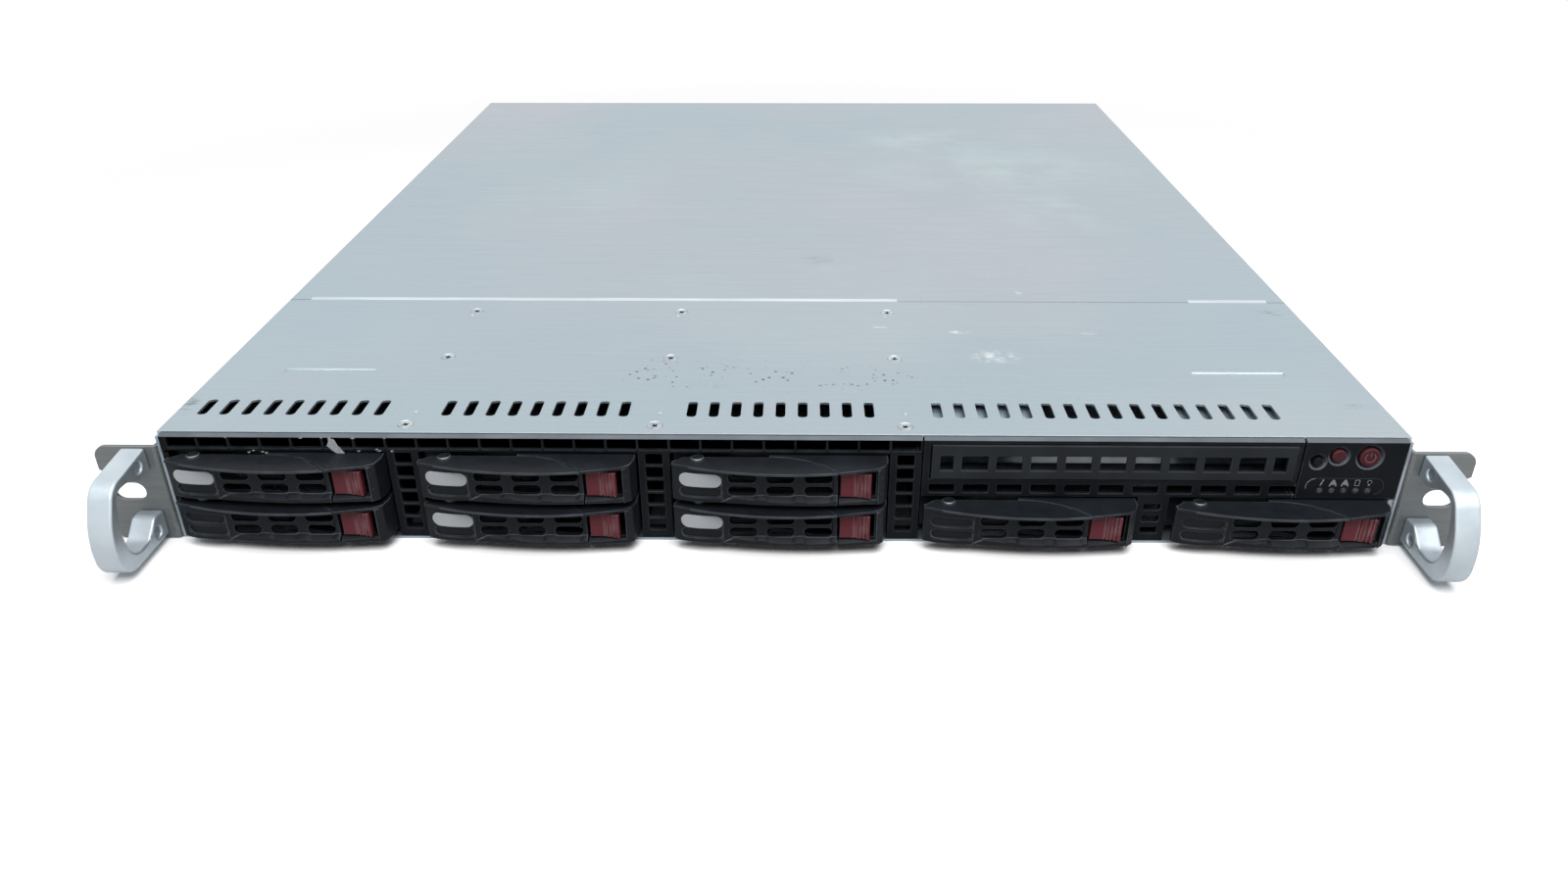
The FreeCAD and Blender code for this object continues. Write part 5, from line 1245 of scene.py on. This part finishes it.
BUTTONS = {  # (x, z, radius)
    "power_button": (HALF_WIDTH - 13.6, 36.0, 3.5),
    "reset_button": (HALF_WIDTH - 24.3, 36.4, 2.4),
    "id_button": (HALF_WIDTH - 31.1, 34.1, 1.8),
}
BUTTON_FACE = -0.4
BUTTON_FLANGE = (0.7, 2.4, 3.5)  # how much wider than the cap, and where it starts and ends
FLANGE_DRAFT = 0.1
STEM_END = 7.6
CAP_RIM = ((0.0, 0.45), (0.15, 0.15), (0.5, 0.0))  # in from the cap's side, and back from its face
DISH_EDGE = (0.55, 0.6)  # shares of the radius and of the dish's depth
POWER_DISH = 0.25
SMALL_DISH = 0.1
PANEL_DEPTH = 10.0
BORE_GAP = 0.3
BORE_CONE = (1.35, 1.7)  # how much wider than the button its mouth is, and how deep the cone runs
CONE_PAST = (0.19, 0.3)  # how far the cone runs on in front of the panel, outwards and forwards
BORE_DEPTH = 2.0
LIGHT_XS = spread(5, 4.2, HALF_WIDTH - 19.9)
LIGHT_Z = 22.7
LIGHT_HOLE = 0.95
LIGHT_RING = (1.12, 0.16, 0, 345, 23)  # radius, width, the angles of its ends, and steps
BOARD_INSET = 2.0
BOARD_Y = (10.1, 11.7)
BOARD_Z = (20.4, TOP - 2.2)
PRINT = 0.06
MARK_Y = -0.28
MARK_RING = (1.75, 0.34, 125, 415)  # radius, width, and the angles of its ends
MARK_STROKE = (0.17, 0.4, 2.1)  # half its width, and its ends above the button's middle
ICON_Z = 25.8
RING_MIDDLE = (LIGHT_Z + ICON_Z) / 2 + 0.1
RING_RADIUS = 3.2
RING_WIDTH = 0.2
RING_ENDS = (LIGHT_XS[0] - 2.0, LIGHT_XS[-1] + 2.0)
LEFT_RING = (95, 195, 16)  # the angles of its ends, and steps
RIGHT_RING = (-80, 88, 16)
LINE_GAP = 0.06

# Plain signs for information, two networks, drive activity and power, about each one's own middle
NETWORK_SIGN = (
    ((-1.35, -0.8), (1.35, -0.8), (0.3, 1.2), (-0.3, 1.2)),
    rectangle((-1.33, -0.77), (-1.4, -0.95)),
    rectangle((0.77, 1.33), (-1.4, -0.95)),
)
SIGNS = (
    (((-0.45, -1.1), (0.05, -1.1), (0.55, 0.4), (0.05, 0.4)), circle((0.5, 1.0), 0.33, 18)),
    NETWORK_SIGN,
    NETWORK_SIGN,
    (rectangle((-0.85, -0.65), (-1.2, 1.2)), rectangle((0.65, 0.85), (-1.2, 1.2)),
     rectangle((-0.6, 0.6), (1.0, 1.2)), rectangle((-0.6, 0.6), (-1.2, -1.0))),
    (ring_part((0.0, 0.4), 0.68, 0.2, 250, 650), rectangle((-0.32, 0.32), (-1.1, -0.5))),
)


def button_cap(name, x, z, radius):
    """A round cap with a soft rim, on the flange and stem that the panel keeps."""
    dish = POWER_DISH if name == "power_button" else SMALL_DISH
    wider, near, far = BUTTON_FLANGE
    profile = [(0.0, STEM_END), (radius / 2, STEM_END), (radius / 2, far), (radius + wider, far),
               (radius + wider, near), (radius, near - FLANGE_DRAFT)]
    profile += [(radius - inset, BUTTON_FACE + back) for inset, back in CAP_RIM]
    profile += [(radius * DISH_EDGE[0], BUTTON_FACE + dish * DISH_EDGE[1]), (0.0, BUTTON_FACE + dish)]
    work = bmesh.new()
    add_lathe(work, profile, x, z)
    cap = new_object(f"{name}_cap", work)
    plastic = deep_black if name == "id_button" else button_red
    settle(cap, name, plastic, replaces=[name])


def on_panel_highlight(place, normal):
    """Whether a face is the bevel along the panel's top, or the cone of a button's bore: both painted grey as
    a painted highlight.
    """
    if on_brow(place, normal):
        return True
    for x, z, radius in BUTTONS.values():
        away = math.hypot(place.x - x, place.z - z) - radius
        if 0 < away < BORE_CONE[0] and place.y < BORE_CONE[1] and abs(normal.y) < 0.9:
            return True
    return False


def make_control_panel():
    """The panel block with coned button bores and light holes, its buttons and the board behind it."""
    left, right = (corner.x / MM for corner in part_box("control_panel"))
    panel = solid("panel_block", [(front_section(LOW_BAY_TOP, PANEL_DEPTH), "x", left, right)])
    behind = PANEL_DEPTH + PAST
    bores = bmesh.new()
    for name, (x, z, radius) in BUTTONS.items():
        bore, wide = radius + BORE_GAP, radius + BORE_CONE[0]
        mouth, ahead = wide + CONE_PAST[0], -CONE_PAST[1]
        add_lathe(bores, [(0.0, ahead), (mouth, ahead), (bore, BORE_CONE[1]), (bore, BORE_DEPTH),
                          (wide, BORE_DEPTH), (wide, behind), (0.0, behind)], x, z)
        button_cap(name, x, z, radius)
    holes = [(circle((x, LIGHT_Z), LIGHT_HOLE, 24), "y", -PAST, behind) for x in LIGHT_XS]
    cut(panel, new_object("bores", bores), solid("light_holes", holes))
    paint_faces(panel, [black, bevel_highlight_black], on_panel_highlight)
    settle(panel, "chassis", black, edge=0.15, replaces=["control_panel"])
    outline = rectangle((left + BOARD_INSET, right - BOARD_INSET), BOARD_Z)
    settle(solid("panel_board", [(outline, "y", *BOARD_Y)]), "chassis", board_green, edge=0.1)


def printed(name, outlines, y=0.0):
    """Thin printed shapes on a face that looks forward."""
    return solid(name, [(outline, "y", y - PRINT, y + PRINT) for outline in outlines])


def make_prints():
    """The power button's mark, the signs over the status lights, and the worn lines round them."""
    x, z = BUTTONS["power_button"][:2]
    half, low, high = MARK_STROKE
    mark = [ring_part((x, z), *MARK_RING), rectangle((x - half, x + half), (z + low, z + high))]
    settle(printed("power_mark", mark, MARK_Y), "power_button", rose)

    signs = []
    for x, outlines in zip(LIGHT_XS, SIGNS):
        signs += [[(x + across, ICON_Z + up) for across, up in outline] for outline in outlines]
    left, right = RING_ENDS
    signs.append(ring_part((left, RING_MIDDLE), RING_RADIUS, RING_WIDTH, *LEFT_RING))
    settle(printed("panel_icons", signs), "chassis", print_white)

    line = (RING_MIDDLE + RING_RADIUS - RING_WIDTH / 2, RING_MIDDLE + RING_RADIUS + RING_WIDTH / 2)
    faint = [ring_part((right, RING_MIDDLE), RING_RADIUS, RING_WIDTH, *RIGHT_RING),
             rectangle((left + LINE_GAP, right - LINE_GAP), line)]
    faint += [ring_part((x, LIGHT_Z), *LIGHT_RING) for x in LIGHT_XS]
    settle(printed("panel_lines", faint), "chassis", print_grey)


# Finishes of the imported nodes

WELD_REACH = 1e-6
FLAT_ANGLE = math.radians(0.5)
PLUGS_BEFORE = 113.9  # the backplane's plugs stand in front of this
SOCKETS_ABOVE = 9.15  # the main board's sockets stand above this
SHELLS_BEHIND = 502.6  # the rear connectors are metal behind this and dark in front of it
INLET_BEHIND = 501.95  # the supply's power inlet stands out behind this


def finish_node(name, materials, edge, pick=None):
    """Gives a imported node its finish. pick(x, y, z) says by number which one a face has, from its centre."""
    node = NODES[name]
    mesh = node.data
    if "custom_normal" in mesh.attributes:
        mesh.attributes.remove(mesh.attributes["custom_normal"])
    mesh.materials.clear()
    for material in materials:
        mesh.materials.append(material)
    for polygon in mesh.polygons:
        polygon.material_index = 0
        if pick:
            place = polygon.center
            polygon.material_index = int(pick(place.x / MM, (place.y - FRONT) / MM, place.z / MM))
    if edge:
        weld = node.modifiers.new("join corners", "WELD")
        weld.merge_threshold = WELD_REACH
        flat = node.modifiers.new("merge flats", "DECIMATE")
        flat.decimate_type = "DISSOLVE"
        flat.angle_limit = FLAT_ANGLE
        flat.delimit = {"MATERIAL"}
    soften(node, edge)


def finish_carrier(number):
    """A carrier's tray with its bright hinge pin, and its drive with its front end painted black as painted
    shade.
    """
    pin_x = carrier_place(number)[0] + PIN_X
    drive_front = (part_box(f"carrier_{number}_drive")[0].y - FRONT) / MM
    finish_node(f"carrier_{number}_tray", [carrier_black, pin_metal], 0.2,
                lambda x, y, z: math.hypot(x - pin_x, y - PIN_Y) < PIN_RADIUS + 0.05)
    finish_node(f"carrier_{number}_drive", [drive_metal, deep_black], 0.3,
                lambda x, y, z: y < drive_front + 0.5)


def finish_nodes():
    """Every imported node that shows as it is."""
    finish_node("chassis_tray", [steel], 0.0)
    # The cage left of the optical bay is painted black: painted shade behind the grille's windows.
    finish_node("drive_cage", [shelf_zinc, deep_black], 0.15, lambda x, y, z: x < GRILLE_RIGHT + 1.5)
    finish_node("expansion_slot_cover", [steel], 0.15)
    finish_node("optical_bay_blank", [blank_black], 0.25)
    finish_node("status_light_pipes", [clear], 0.1)
    finish_node("drive_backplane", [board_green, deep_black], 0.1, lambda x, y, z: y < PLUGS_BEFORE)
    finish_node("fan_frames", [fan_black], 0.2)
    finish_node("motherboard", [board_green, deep_black], 0.1, lambda x, y, z: z > SOCKETS_ABOVE)
    finish_node("cpu_heat_sink", [sink_metal], 0.1)
    finish_node("memory_modules", [board_green], 0.1)
    finish_node("rear_connectors", [port_metal, deep_black], 0.15, lambda x, y, z: y < SHELLS_BEHIND)
    finish_node("power_supply", [supply_steel, deep_black], 0.2, lambda x, y, z: y > INLET_BEHIND)
    finish_node("internal_cables", [ribbon_grey, deep_black], 0.2, lambda x, y, z: x > 0)
    for rotor in ("fan_rotor_1", "fan_rotor_2", "fan_rotor_3", "supply_fan_rotor"):
        finish_node(rotor, [fan_black], 0.15)
    for number in NUMBERS:
        finish_carrier(number)


# Everything in place

make_floor()
make_world()
make_lamp()
make_camera()
finish_nodes()
make_levers()
make_latches()
make_carrier_lights()
make_pin_heads()
make_grille()
make_residue()
make_top_panel()
make_screws()
make_cover()
make_brackets()
for side, name in ((-1, "left"), (1, "right")):
    make_handle(side, f"{name}_handle")
    make_ear(side, f"{name}_rack_ear")
make_control_panel()
make_prints()

bpy.context.scene.view_settings.view_transform = "Standard"
